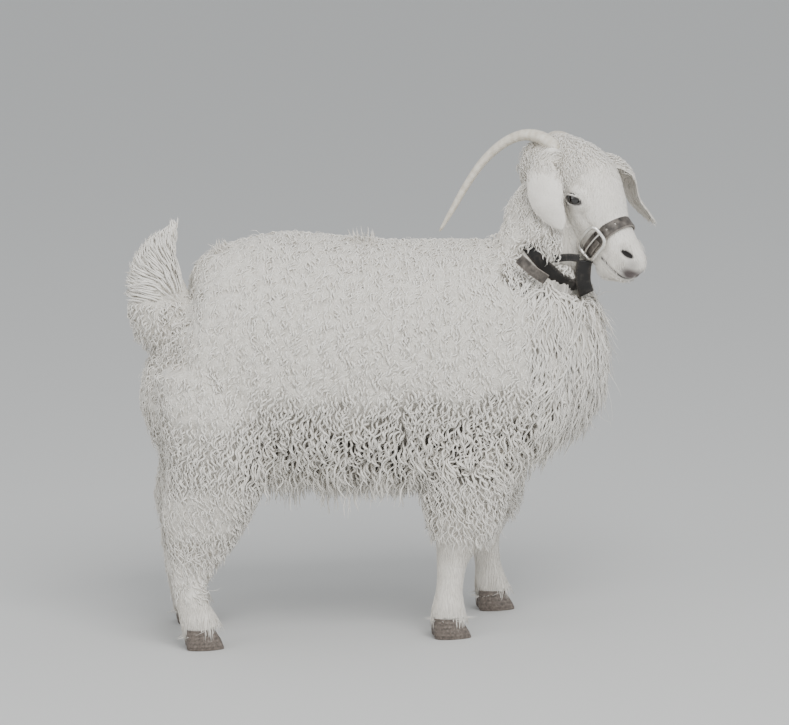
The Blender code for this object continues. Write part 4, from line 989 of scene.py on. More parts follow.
def horn(side, name, rows=260, sides=40):
    """A tapered tube on the horn's sweep; its radius rises and falls with the rings of growth."""
    at = spline(np.array(HORN_TABLE), np.linspace(0, len(HORN_TABLE) - 1, rows))
    t = np.linspace(0, 1, rows)
    base = from_head(on_side(HORN_BASE, side))
    if side > 0:
        at[:, 2] -= HORN_LEFT_DROP * np.sin(t * math.pi)
    left = np.array([-HEADING[1], HEADING[0], 0.0])
    points = base - at[:, :1] * HEADING + side * at[:, 1:2] * left + at[:, 2:3] * RISE
    grown = t**0.85
    rings = RING_HEIGHT * np.abs(np.sin(grown * HORN_RINGS * math.pi)) ** 0.6 * (1 - 0.75 * t)
    slow = 0.02 * np.sin(grown * 7 * math.pi + 0.6) * (1 - t)
    radius = at[:, 3] * (0.985 + rings + slow)
    radius[-6:] *= np.sqrt(np.linspace(1, 0.15, 6))
    shape = tube_points(points, radius, sides, flat=HORN_FLAT)
    made = ring_mesh(name + "_keratin", shape, HORN)
    give(made.data, along=np.repeat(grown, sides))
    return made


horns = {"horn_right": horn(-1, "horn_right"), "horn_left": horn(1, "horn_left")}
print("horns:", [len(h.data.polygons) for h in horns.values()])

# %% [markdown]
# ## Eyes
# A goat's pupil is a level slit in a brown iris, and hardly any white shows. The ball sits deep: only the
# part between the lids is seen. The attribute iris holds the distance from the slit, and the shader turns
# it to colour: black in the slit, a brown darkened nearly to black round it as a painted shade of the lids,
# and nearly black at the rim.

# %% Eyes
# All over the eye's radius: the cornea's start and rise, half the slit's length and height, and the iris
CORNEA_FROM, CORNEA_RISE, SLIT_LENGTH, SLIT_HEIGHT, IRIS_RADIUS = 0.72, 0.035, 0.36, 0.13, 0.70


def eye_ball(side, name):
    """A ball with a raised cornea; its slit is |x/a|^2.6 + |y/b|^2.6 = 1, and iris grows with that sum."""
    centre, (look, along, up) = eye_frame(side)
    local = globe(65, 96)
    risen = np.clip((local[..., 2] - CORNEA_FROM) / (1 - CORNEA_FROM), 0, 1)
    raised = EYE_RADIUS * (1 + CORNEA_RISE * risen)
    points = centre + (local * raised[..., None]) @ np.array([along, up, look])
    made = ring_mesh(name + "_wet", points, EYE)
    x, y = local[..., 0], local[..., 1]
    slit = ((np.abs(x) / SLIT_LENGTH) ** 2.6 + (np.abs(y) / SLIT_HEIGHT) ** 2.6) ** (1 / 2.6)
    rim = np.sqrt(x**2 + y**2) / IRIS_RADIUS
    value = np.where(slit < 1, 0.3 * slit, 0.34 + 0.5 * np.clip(rim, 0, 1) ** 2)
    value = np.where((rim > 0.96) | (local[..., 2] < 0), 0.0, value)
    give(made.data, iris=value.ravel())
    return made


eyes = {"eye_right": eye_ball(-1, "eye_right"), "eye_left": eye_ball(1, "eye_left")}
print("eyes:", [len(e.data.polygons) for e in eyes.values()], "faces")

# %% [markdown]
# ## Claws
# Each foot has two claws of dark horn, flat-soled, rounded outside and flat where they face each other,
# with shallow rings of growth. They stand a few millimetres apart, as the toes do.

# %% Claws
# Each station: height, toe and heel from the foot's middle, half width
CLAW_TABLE = ((0.0, 0.034, -0.026, 0.0120), (0.010, 0.030, -0.027, 0.0130), (0.0332, 0.016, -0.026, 0.0115))
CLAW_APART = 0.0137  # from the foot's middle to each claw's


def claw(stance, side, name, rows=30, around=56):
    """A wedge of horn: each level is a squared ellipse, narrowed to the toe, its radius ringed."""
    foot_x = stance["drawn"][-1][0] + stance["foot"][0]
    foot_y = stance["foot"][1] + side * CLAW_APART
    table = np.array(CLAW_TABLE)
    z = np.linspace(0, table[-1, 0], rows)
    toe, heel, half = (np.interp(z, table[:, 0], table[:, i]) for i in (1, 2, 3))
    worn = 1 - 0.06 * np.exp(-((z / 0.0012) ** 2)) + 0.008 * np.sin(z * 1900)
    angles = full_turn(around)
    c, s = np.cos(angles), np.sin(angles)
    x = ((toe + heel) / 2)[:, None] + ((toe - heel) / 2 * worn)[:, None] * squared(c, 0.85)
    bulge = np.where(s * side > 0, 1.15, 0.85)
    y = (half * worn)[:, None] * bulge * squared(s, 0.8) * (1 - 0.35 * np.clip(c, 0, 1))
    rings = np.stack([foot_x + x, foot_y + y, np.broadcast_to(z[:, None], x.shape)], -1)
    made = ring_mesh(name + "_hoof", rings, HOOF)
    give(made.data, along=np.repeat(z / table[-1, 0], around))
    return made


claws = {
    f"claw_{leg}_{label}": claw(stance, side, f"claw_{leg}_{label}")
    for leg, stance in STANCE.items()
    for side, label in ((-1, "a"), (1, "b"))
}
print("claws:", len(claws))

# %% [markdown]
# ## The halter
# Four straps of bridle leather, three and a half millimetres thick: a collar round the top of the neck, a
# noseband round the muzzle that a steel buckle closes on the cheek, and two short straps that join them.
# A strap is one rounded oblong carried along a path that rests on the skin. Both its edges are sewn with
# linen thread, a stitch every four millimetres, and the noseband has holes for the buckle's tongue.

# %% Sizes of the halter, in metres
STRAP = 0.0034
NOSEBAND_HUB, NOSEBAND_WIDTH, END_WIDTH, END_THICK = np.array([0.1590, 0.0, -0.032]), 0.024, 0.020, 0.8
BUCKLE_ANGLE, BUCKLE_HALF_ANGLE, BUCKLE_HALF_WIDTH = math.radians(197), 0.70, 0.0180
BUCKLE_WIRE, BUCKLE_LIFT = 0.0028, 0.0086
COLLAR_HUB, COLLAR_AXIS = np.array([0.2525, -0.015, 0.6085]), unit(np.array([0.616, -0.435, 0.657]))
COLLAR_DOWN = np.array([0.665, -0.160, -0.729])
COLLAR_WIDTH, STRAP_SINK = 0.022, -0.0010
JAW_STRAP = (
    (0.2955, -0.0775, 0.594), (0.2938, -0.0745, 0.577), (0.2955, -0.066, 0.558), (0.3025, -0.052, 0.538),
)
CHEEK_STRAP = ((0.286, -0.084, 0.599), (0.268, -0.086, 0.6015), (0.248, -0.080, 0.5990))
STRAP_TIP = ((0.2290, -0.106, 0.570), (0.2052, -0.114, 0.5875), (0.1860, -0.112, 0.6060))
STITCH, STITCH_GAP, STITCH_INSET, THREAD_RADIUS = 0.0030, 0.0042, 0.0028, 0.00042
LOOP_COARSE = 28  # directions in which a loop's radius is measured, before it is smoothed


def around_loop(values, count):
    """Evenly numbered values on a closed loop, read at more places by a smooth periodic curve."""
    wrapped = np.concatenate([values[-3:], values, values[:4]])
    return spline(wrapped, 3 + np.linspace(0, len(values), count, endpoint=False))


def strap_mesh(name, middle, out, across, width, thick, material, closed=False):
    """A rounded oblong along the path: |cos a|^0.22 of half the width across, |sin a|^0.42 of half thick."""
    turn = full_turn(40) + math.pi / 40
    c, s = np.cos(turn), np.sin(turn)
    x = squared(c, 0.22) * width / 2
    y = squared(s, 0.42) * thick / 2
    crown = 0.0003 * (1 - (2 * x / width) ** 2) * (s > 0)
    rings = middle[:, None] + x[None, :, None] * across[:, None] + (y + crown)[None, :, None] * out[:, None]
    made = ring_mesh(name, rings, material, closed)
    edge = np.clip((np.abs(x) / (width / 2) - 0.8) / 0.2, 0, 1)
    give(made.data, edge=np.tile(edge, len(middle)))
    return made


def stitches(name, middle, out, across, width, thick):
    """Two rows of short threads in one mesh, each a tube whose ends dip into the strap as (2t)^4."""
    gaps = np.linalg.norm(np.diff(middle, axis=0), axis=1)
    run = np.concatenate([[0], np.cumsum(gaps)])
    count = int((run[-1] - 0.006) / STITCH_GAP)
    at = np.interp(0.004 + np.arange(count) * STITCH_GAP, run, np.arange(len(run)))
    spots, outs, acrosses = (
        np.stack([np.interp(at, np.arange(len(run)), a[:, k]) for k in range(3)], 1)
        for a in (middle, out, across)
    )
    alongs = unit(np.gradient(spots, axis=0))
    rows, sides = 5, 6
    t = np.linspace(-0.5, 0.5, rows)
    turn = full_turn(sides)
    verts = []
    for side in (-1, 1):
        root = spots + side * (width / 2 - STITCH_INSET) * acrosses + outs * (thick / 2 + 0.00012)
        body = root[:, None] + (t * STITCH)[None, :, None] * alongs[:, None]
        body = body - (0.0005 * (2 * t) ** 4)[None, :, None] * outs[:, None]
        fat = (THREAD_RADIUS * np.sqrt(1.05 - (2 * t) ** 2))[None, :, None, None]
        ring = np.cos(turn)[:, None] * acrosses[:, None, None] + np.sin(turn)[:, None] * outs[:, None, None]
        verts.append((body[:, :, None] + fat * ring).reshape(-1, 3))
    verts = np.concatenate(verts)
    each = rows * sides
    start = np.arange(0, len(verts), each)[:, None, None]
    faces = (grid_faces(rows, sides)[None] + start).reshape(-1, 4)
    j = np.arange(sides)
    ends = (np.stack([-j % sides, each - sides + j])[None] + start).reshape(-1, sides)
    mesh = bpy.data.meshes.new(name)
    mesh.from_pydata(verts.tolist(), [], faces.tolist() + ends.tolist())
    outwards(mesh)
    mesh.shade_smooth()
    return link(name, mesh, THREAD)


def punched(strap, holes, radius=0.0019):
    """Round holes through a strap, each given by its middle and the way through."""
    cuts = []
    for spot, way in holes:
        path = spot + np.linspace(-0.005, 0.005, 4)[:, None] * way
        hint = np.cross(way, [0.3, 0.5, 0.8])
        cuts.append(ring_mesh("hole", tube_points(path, radius, 20, across=hint)))
    return fused(strap, cuts, "DIFFERENCE")


print("halter of straps", STRAP * 1000, "mm thick")

# %% [markdown]
# The noseband has to lie on the face wherever it goes round it, so its path is found by rays from inside
# the muzzle out to the skin. The buckle's wire and tongue and the strap's free end ride on the same rays,
# a few millimetres higher.

# %% The noseband, its free end and its buckle
face_tree = tree_of(SKIN)


def muzzle(angles, along, lift):
    """Points round the muzzle, at distances along the face from the noseband's middle."""
    points = []
    for angle, s, up in zip(angles, along, np.broadcast_to(lift, angles.shape)):
        heading = HEAD_AXES @ np.array([0.0, math.cos(angle), math.sin(angle)])
        hit = face_tree.ray_cast(Vector(from_head(NOSEBAND_HUB + (s, 0, 0))), Vector(heading))
        points.append(np.array(hit[0]) + up * heading)
    return np.array(points)


def headings(angles):
    """The ways out of the muzzle at these angles round it."""
    return np.stack([0 * angles, np.cos(angles), np.sin(angles)], 1) @ HEAD_AXES.T


def noseband():
    """A closed strap square to the face, a millimetre into the coat, with two holes on the bridge."""
    coarse, rows = full_turn(LOOP_COARSE), 224
    middle = around_loop(muzzle(coarse, 0 * coarse, STRAP_SINK + STRAP / 2), rows)
    out = headings(full_turn(rows))
    across = np.broadcast_to(HEAD_AXES[:, 0], out.shape)
    made = strap_mesh("noseband", middle, out, across, NOSEBAND_WIDTH, STRAP, WORN_AND_LIT_LEATHER, closed=True)
    sewn = stitches("noseband_stitches", middle, out, across, NOSEBAND_WIDTH, STRAP)
    at = [int(rows * math.radians(a) / (2 * math.pi)) for a in (118, 141)]
    return punched(made, [(middle[i], out[i]) for i in at]), sewn


def strap_end():
    """The noseband's free end, laid over it through the buckle, with a row of holes."""
    angles = np.linspace(BUCKLE_ANGLE - 0.36, BUCKLE_ANGLE + 0.52, 50)
    thick = STRAP * END_THICK
    middle = muzzle(angles, 0 * angles, STRAP_SINK + STRAP + 0.0010 + thick / 2)
    for _ in range(6):
        middle[1:-1] = (middle[:-2] + 2 * middle[1:-1] + middle[2:]) / 4
    out = headings(angles)
    across = np.broadcast_to(HEAD_AXES[:, 0], out.shape)
    made = strap_mesh("noseband_end", middle, out, across, END_WIDTH, thick, WORN_AND_LIT_LEATHER)
    sewn = stitches("noseband_end_stitches", middle, out, across, END_WIDTH, thick)
    return punched(made, [(middle[i], out[i]) for i in (14, 33)], 0.0016), sewn


def buckle():
    """A rounded oblong of wire bent to the muzzle, with a tongue across its middle."""
    turns = full_turn(120)
    c, s = np.cos(turns), np.sin(turns)
    angles = BUCKLE_ANGLE + BUCKLE_HALF_ANGLE * squared(c, 0.5)
    path = muzzle(angles, BUCKLE_HALF_WIDTH * squared(s, 0.5), BUCKLE_LIFT)
    for _ in range(4):
        path = (np.roll(path, 1, 0) + 2 * path + np.roll(path, -1, 0)) / 4
    hint = unit(path - from_head(NOSEBAND_HUB))
    rings = tube_points(path, BUCKLE_WIRE, 18, across=hint, closed=True)
    bent = ring_mesh("buckle_frame", rings, STEEL, closed=True)
    half, rows = BUCKLE_HALF_ANGLE * 0.98, 40
    reach = np.linspace(BUCKLE_ANGLE + half, BUCKLE_ANGLE - half, rows)
    rod = muzzle(reach, 0 * reach, BUCKLE_LIFT + 0.0012 * np.sin(np.linspace(0, math.pi, rows)))
    fat = 0.0013 * np.ones(rows)
    fat[:3] = (0.0020, 0.0020, 0.0017)  # the eye by which the tongue turns on the frame
    tongue = ring_mesh("buckle_tongue", tube_points(rod, fat, 12, across=HEAD_AXES[:, 0]), STEEL)
    return bent, tongue


# %% [markdown]
# The collar is a loop in one plane, square to the neck. It bridges the neck's hollows as stiff leather
# does, so its radius is measured in 28 directions and smoothed, and where the neck would bulge through
# the strap the skin is pressed in under it. Three short straps join it to the noseband or end on the
# neck.

# %% The collar and the straps that join it to the noseband
def collar_loop():
    """The collar's way down and its way left, its angles round the neck, and its inner radius at each."""
    down = unit(COLLAR_DOWN - COLLAR_AXIS * (COLLAR_AXIS @ COLLAR_DOWN))
    left = np.cross(COLLAR_AXIS, down)
    coarse, fine = full_turn(LOOP_COARSE), full_turn(260)
    ways = np.cos(coarse)[:, None] * down + np.sin(coarse)[:, None] * left
    reach = np.array([face_tree.ray_cast(Vector(COLLAR_HUB), Vector(h))[3] for h in ways])
    for _ in range(3):
        reach = 0.5 * reach + 0.25 * (np.roll(reach, 1) + np.roll(reach, -1))
    return down, left, fine, around_loop(reach[:, None], len(fine)) + STRAP_SINK


def collar():
    """A closed strap round the neck in its own plane; it bridges the neck's hollows."""
    down, left, fine, radius = collar_loop()
    out = np.cos(fine)[:, None] * down + np.sin(fine)[:, None] * left
    middle = COLLAR_HUB + (radius + STRAP / 2) * out
    across = np.broadcast_to(COLLAR_AXIS, out.shape)
    made = strap_mesh("collar", middle, out, across, COLLAR_WIDTH, STRAP, BLACK_LEATHER, closed=True)
    return made, stitches("collar_stitches", middle, out, across, COLLAR_WIDTH, STRAP)


def press_under_collar():
    """The neck gives under the collar: its radius is at most the strap's, and rises again beside it."""
    down, left, fine, radius = collar_loop()
    away = read(SKIN.data.vertices, "co", 3) - COLLAR_HUB
    along = away @ COLLAR_AXIS
    flat = away - along[:, None] * COLLAR_AXIS
    far = np.linalg.norm(flat, axis=1)
    angle = np.arctan2(flat @ left, flat @ down)
    beside = np.clip(np.abs(along) - COLLAR_WIDTH / 2 - 0.001, 0, None) * np.where(along > 0, 3.0, 1.2)
    limit = np.interp(angle, fine, radius[:, 0], period=2 * math.pi) - 0.0006 + beside
    near = (np.abs(along) < 0.030) & (far < 0.14)
    share = np.where(near, np.minimum(1, limit / far), 1)
    move_points(SKIN.data, COLLAR_HUB + along[:, None] * COLLAR_AXIS + flat * share[:, None])
    print("skin pressed in under the collar at", int((share < 1).sum()), "points")


def ribbon(name, points, facing, width, material):
    """A short strap through a few points, its broad side turned to facing."""
    middle = spline(np.asarray(points, float), np.linspace(0, len(points) - 1, 46))
    along = unit(np.gradient(middle, axis=0))
    facing = np.broadcast_to(np.asarray(facing, float), middle.shape)
    out = unit(facing - along * np.sum(facing * along, axis=1, keepdims=True))
    across = np.cross(along, out)
    made = strap_mesh(name, middle, out, across, width, STRAP, material)
    return made, stitches(name + "_stitches", middle, out, across, width, STRAP)


halter = {
    "halter_noseband": noseband(),
    "halter_strap_end": strap_end(),
    "halter_buckle": buckle(),
    "halter_collar": collar(),
    "halter_jaw_strap": ribbon("jaw_strap", JAW_STRAP, (0.05, -1.0, 0.10), 0.025, BLACK_LEATHER),
    "halter_cheek_strap": ribbon("cheek_strap", CHEEK_STRAP, (0.0, -1.0, 0.0), 0.012, BLACK_LEATHER),
    "halter_strap_tip": ribbon("strap_tip", STRAP_TIP, (-0.35, -0.9, 0.25), 0.017, WORN_AND_LIT_LEATHER),
}
press_under_collar()
print("halter:", sum(len(p.data.polygons) for pair in halter.values() for p in pair), "faces")

# %% [markdown]
# ## Where the coat grows
# Roots are scattered evenly over the skin and thinned until none stands nearer another than a lock's own
# width. Each lock knows how deep the coat is there: the distance from its root to the coat's outer form,
# which is the body drawn at its full size. The kinds differ: waving locks on the trunk, neck and legs,
# small curls on the crown, straight upright locks on the tail and short flat hair on the face, ears and
# shins.

# %% Scatter roots over the skin
SEED = 11
rng = np.random.default_rng(SEED)
noise.seed_set(SEED)  # without it, each run of Blender wavers the locks in its own way
CURLS_END = 0.066  # along the face, where the curls of the crown stop
KNEE, HOCK = 0.168, 0.088  # heights where the curls of the fore and hind legs stop
CANDIDATES, EAR_CANDIDATES = 300000, 6000
# The kinds of hair, named for where they grow; the belly's are open curls
TRUNK, LEG, CROWN, TAIL_TUFT, FACE, SHIN, EAR_RIGHT, EAR_LEFT, BELLY = range(9)
FLEECY, ON_EARS, SHORT = (TRUNK, LEG, BELLY), (EAR_RIGHT, EAR_LEFT), (FACE, SHIN, EAR_RIGHT, EAR_LEFT)
KIND_TABLE = np.array([
    # spacing of the roots, greatest depth of the coat, how far its locks stray
    (0.0051, 0.055, 1.00),  # trunk
    (0.0053, 0.055, 0.80),  # leg
    (0.0034, 0.030, 0.90),  # crown
    (0.0050, 0.055, 0.30),  # tail
    (0.0029, 0.0042, 0.25),  # face
    (0.0033, 0.055, 0.30),  # shin
    (0.0036, 0.055, 0.35),  # right ear
    (0.0036, 0.055, 0.35),  # left ear
    (0.0064, 0.055, 1.00),  # belly
])
SPACING, DEEPEST, STRAYING = KIND_TABLE.T


def surface_samples(obj, count):
    """Points spread evenly over the surface by area: place, normal, place on its unwrap, and bareness."""
    mesh = obj.data
    mesh.calc_loop_triangles()
    points = read(mesh.vertices, "co", 3)
    ids = read(mesh.loop_triangles, "vertices", 3, np.int32)
    loops = read(mesh.loop_triangles, "loops", 3, np.int32)
    uv = read(mesh.uv_layers["OFBake"].uv, "vector", 2)
    bare = read(mesh.attributes["bare"].data, "value", 1)[:, 0]
    corners = points[ids]
    cross = np.cross(corners[:, 1] - corners[:, 0], corners[:, 2] - corners[:, 0])
    area = np.linalg.norm(cross, axis=1)
    pick = rng.choice(len(area), count, p=area / area.sum())
    a, b = rng.random((2, count))
    root = np.sqrt(a)
    weight = np.stack([1 - root, root * (1 - b), root * b], 1)[..., None]
    place = (uv[loops[pick]] * weight).sum(1)
    thin = (bare[ids[pick]] * weight[..., 0]).sum(1)
    return (corners[pick] * weight).sum(1), unit(cross[pick]), place, thin


def unwrap(obj):
    """A flat map of the whole surface, cut into pieces where it turns by more than 66 degrees."""
    obj.data.uv_layers.new(name="OFBake")
    bpy.context.view_layer.objects.active = obj
    obj.select_set(True)
    bpy.ops.object.mode_set(mode="EDIT")
    bpy.ops.mesh.select_all(action="SELECT")
    bpy.ops.uv.smart_project(angle_limit=math.radians(66), island_margin=0.002)
    bpy.ops.object.mode_set(mode="OBJECT")
    obj.select_set(False)


def thinned(points, spacing):
    """Which points to keep so that none lies within its own spacing of an earlier one."""
    tree = KDTree(len(points))
    for i, p in enumerate(points):
        tree.insert(p, i)
    tree.balance()
    free = np.ones(len(points), bool)
    keep = []
    for i, p in enumerate(points):
        if free[i]:
            keep.append(i)
            for _, j, _ in tree.find_range(p, spacing[i]):
                free[j] = False
    return np.array(keep)


for piece in [SKIN] + ears:
    unwrap(piece)
outer_body = tree_of(body_form("outer", 0.0))
outer_head = tree_of(ring_mesh("outer_head", head_rings(0.0, 60, 60)))
for name in ("outer", "outer_head"):
    bpy.data.objects.remove(bpy.data.objects[name])
print("unwrapped, with", len(SKIN.data.uv_layers), "map")

# %% [markdown]
# The kind of each root follows from its place alone. The fleece also opens up smoothly from the back,
# where it felts, down to the belly, where it hangs in separate curls, and one function gives that
# openness: it sets the locks' spacing and shape, the painted shade at their roots and on the mat between
# them, and where that mat sinks to the skin.


# %% What grows where
def kinds_of(points):
    """The kind at each point, from its height, its place along the body and its place on the head."""
    s, _, u = head_places(points).T
    x, _, z = points.T
    on_head = ((points - COLLAR_HUB) @ COLLAR_AXIS > 0.019) & (x > 0.19)
    kind = np.full(len(points), TRUNK)
    kind[z < 0.27] = LEG
    kind[z < np.where(x > 0, KNEE, HOCK)] = SHIN
    kind[(x < -0.335) & (z > 0.545)] = TAIL_TUFT
    kind[on_head] = CROWN
    kind[on_head & (s > CURLS_END + 1.25 * np.clip(-0.035 - u, 0, 0.08))] = FACE
    return kind


samples = [surface_samples(SKIN, CANDIDATES)] + [surface_samples(piece, EAR_CANDIDATES) for piece in ears]
points, normals, places, thins = (np.concatenate(same) for same in zip(*samples))
kinds = kinds_of(points)
kinds[CANDIDATES:] = np.repeat(ON_EARS, EAR_CANDIDATES)


def eased(value, start, end):
    """0 at start, 1 at end, and a smooth step between them."""
    t = np.clip((value - start) / (end - start), 0, 1)
    return t * t * (3 - 2 * t)


def ripples(points, size, seed):
    """Twelve sine waves of random ways and phases, size long, added up: smooth lumps near -1 to 1."""
    chance = np.random.default_rng(seed)
    ways = unit(chance.normal(size=(12, 3))).T * 2 * math.pi / size
    return np.sin(points @ ways + 2 * math.pi * chance.random(12)).sum(axis=1) / 3.5


def openness(points):
    """How open the fleece is: 0 on the back, where it felts, 1 along the belly, where it hangs loose."""
    x, _, z = points.T
    low = eased(z + 0.018 * ripples(points, 0.060, 9) + 0.010 * ripples(points, 0.024, 13), 0.425, 0.270)
    behind = 0.30 + 0.70 * eased(x, -0.300, -0.200)
    leg = 1 - 0.72 * eased(z, 0.275, 0.235) * (1 - eased(x, -0.19, -0.15) * eased(x, 0.07, 0.03))
    # Clefts on the breast: narrow valleys where roots and mat are painted dark, a painted shade between the
    # clumps, and the mat sinks
    clefts = np.clip(ripples(points * (1.0, 1.0, 0.40), 0.040, 31) - 0.15, 0, 0.6)
    breast = 0.75 * clefts * eased(x, 0.15, 0.22) * eased(z, 0.585, 0.54) * eased(z, 0.30, 0.36)
    return np.maximum(low * behind * leg * (1 - 0.35 * eased(x, 0.17, 0.27)), breast)


kinds[(kinds == TRUNK) & (openness(points) > 0.35)] = BELLY
spacing = SPACING[kinds] * (0.9 + 0.2 * rng.random(len(kinds)))
by_collar = np.abs((points - COLLAR_HUB) @ COLLAR_AXIS) < 0.050
by_collar &= (points[:, 0] > 0.12) & (points[:, 2] > 0.48)
spacing[by_collar & np.isin(kinds, (TRUNK, LEG, CROWN))] *= 0.80
keep = thinned(points, spacing)
keep = keep[thins[keep] < 0.3]
points, normals, places, kinds = points[keep], normals[keep], places[keep], kinds[keep]
print("roots:", len(points), np.bincount(kinds))

# %% [markdown]
# How deep the coat is at a root is measured, not guessed: a ray along the skin's normal meets the body's
# outer form, the same stations lofted at their full size. A few places stand fuller than that.


# %% How deep the coat is
def along_ear(points, name):
    """How far along its ear each point is, 0 at the root and 1 at the tip, and the ear's way there."""
    steps = 60
    path = spline(np.array(EARS[name]["path"]), np.linspace(0, len(EARS[name]["path"]) - 1, steps))
    near = np.linalg.norm(points[:, None] - path[None], axis=2).argmin(axis=1)
    return near / (steps - 1), unit(np.gradient(path, axis=0))[near]


ear_part, ear_way = np.zeros(len(points)), np.zeros_like(points)
for kind, name in zip(ON_EARS, EARS):
    here = kinds == kind
    ear_part[here], ear_way[here] = along_ear(points[here], name)


def coat_depth(points, normals, kinds):
    """How far the coat reaches off the skin at each root; the crown's wool runs on into the neck's."""
    forms = {CROWN: (outer_head, outer_body), FACE: (outer_head,)}
    depth = np.empty(len(points))
    for i, (p, n, k) in enumerate(zip(points, normals, kinds)):
        start, way = Vector(p + n * 0.0004), Vector(n)
        hits = [form.ray_cast(start, way, 0.060)[3] for form in forms.get(k, (outer_body,))]
        hits = [reach for reach in hits if reach is not None]
        depth[i] = max(hits) if hits else min(outer_body.find_nearest(start)[3], 0.012)
    return np.minimum(depth, DEEPEST[kinds])


# Fuller places, at the croup, the rump and the chest: x, z, reach, extra depth
FULLER = ((-0.290, 0.615, 0.055, 0.008), (-0.386, 0.480, 0.065, 0.0145), (0.330, 0.470, 0.060, 0.006))


def fuller(points):
    """Extra depth: at each fuller place more * exp(-d^2), with d the distance over its reach."""
    extra = np.zeros(len(points))
    for x, z, reach, more in FULLER:
        extra += more * np.exp(-((points[:, 0] - x) ** 2 + (points[:, 2] - z) ** 2) / reach**2)
    return extra


depths = coat_depth(points, normals, kinds)
depths = np.where(np.isin(kinds, ON_EARS), 0.0020 + 0.0085 * eased(ear_part, 0.55, 0.25), depths)
depths = depths + fuller(points) * np.isin(kinds, FLEECY)
depths = depths + 0.0030 * (kinds == CROWN) * eased(head_places(points)[:, 2], -0.045, -0.070)  # cheek wool
print("coat on the trunk, mm deep:", round(1000 * depths[kinds == TRUNK].mean(), 1))

# %% [markdown]
# The straps, horns and eyes are searched for near each root, in the solid model's own nodes: a root right
# beside one is left out, so nothing grows through leather or horn.


# %% Keep the coat clear of what it would bury
def nearest_solid(names, below=None):
    """One search tree over these nodes of the solid model, in the drawing's frame."""
    verts, faces = [], []
    for name in names:
        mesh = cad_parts[name].data
        start = len(verts)
        verts += [Vector(np.array(v.co) - SHIFT) for v in mesh.vertices]
        faces += [[start + i for i in p.vertices] for p in mesh.polygons]
    if below:
        faces = [face for face in faces if min(verts[i].z for i in face) < below]
    return BVHTree.FromPolygons(verts, faces)


COLLAR_SHOWS_BELOW = 0.600  # wool hides the collar above this height
STRAP_ROOM, HARD_ROOM = 0.0040, 0.0030
STRAPS = [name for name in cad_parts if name.startswith("halter")]
HARD = [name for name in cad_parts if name.startswith(("horn", "eye"))]
straps, hard = nearest_solid(STRAPS, COLLAR_SHOWS_BELOW), nearest_solid(HARD)
clear = np.ones(len(points), bool)
for i in np.flatnonzero((points[:, 0] > 0.10) & (points[:, 2] > 0.50)):
    p = Vector(points[i])
    clear[i] = straps.find_nearest(p)[3] > STRAP_ROOM and hard.find_nearest(p)[3] > HARD_ROOM
points, normals, places, kinds, depths, ear_part, ear_way = (
    a[clear] for a in (points, normals, places, kinds, depths, ear_part, ear_way)
)
woolly_ear = eased(ear_part, 0.55, 0.25)[:, None]
print("roots clear of the halter, horns and eyes:", len(points))

# %% [markdown]
# Hair grows out and then lies along the skin: down and a little back on the trunk, up on the tail. Two
# sizes of smooth noise bend neighbouring locks together, as real staples do, and a little chance parts
# them. Each kind then has its own width, wave and length, which open out towards the belly.


# %% The way the hair lies
def waver(points, scale, seed):
    """A smooth random vector at each point, so that neighbouring locks bend the same way."""
    offset = Vector((seed, 2.0 * seed, 3.0 * seed))
    return np.array([noise.noise_vector(Vector(p) * scale + offset) for p in points])


def lie_of(points, normals, kinds):
    """Down and back on the trunk, down on the legs, up on the tail, and down along the face."""
    x, y, z = points.T
    top = np.clip(normals[:, 2], 0, 1) ** 2
    way = np.stack([-0.30 - 0.35 * top, np.sign(y) * top * 0.9, np.full(len(points), -1.0)], 1)
    way[np.isin(kinds, (LEG, SHIN))] = (0.0, 0.0, -1.0)
    behind = eased(x, -0.345, -0.375) * eased(z, 0.625, 0.56)
    tail = np.stack([-0.15 - behind, 0 * x, 1.0 - 0.8 * behind], 1)
    way[kinds == TAIL_TUFT] = tail[kinds == TAIL_TUFT]
    on_ear = np.isin(kinds, ON_EARS)
    way[on_ear] = ear_way[on_ear] + np.array([0, 0, -0.35])
    on_head = np.isin(kinds, (CROWN, FACE))
    aside = head_places(points)[:, 1] / 0.055
    ways = np.stack([np.ones(len(points)), aside, np.full(len(points), -0.55)], 1)
    way[on_head] = (ways @ HEAD_AXES.T)[on_head]
    stray = 0.75 * waver(points, 28.0, 1.7) + 0.8 * waver(points, 95.0, 4.1)
    stray = stray + 0.22 * rng.normal(size=points.shape)
    way = way + stray * STRAYING[kinds][:, None]
    flat = way - normals * np.sum(way * normals, axis=1, keepdims=True)
    hang = np.clip(-normals[:, 2], 0, 1) * np.isin(kinds, FLEECY)
    flat = flat * (1 - hang)[:, None] + hang[:, None] * np.array([0.0, 0.0, -0.6])
    return unit(flat)


lies = lie_of(points, normals, kinds)


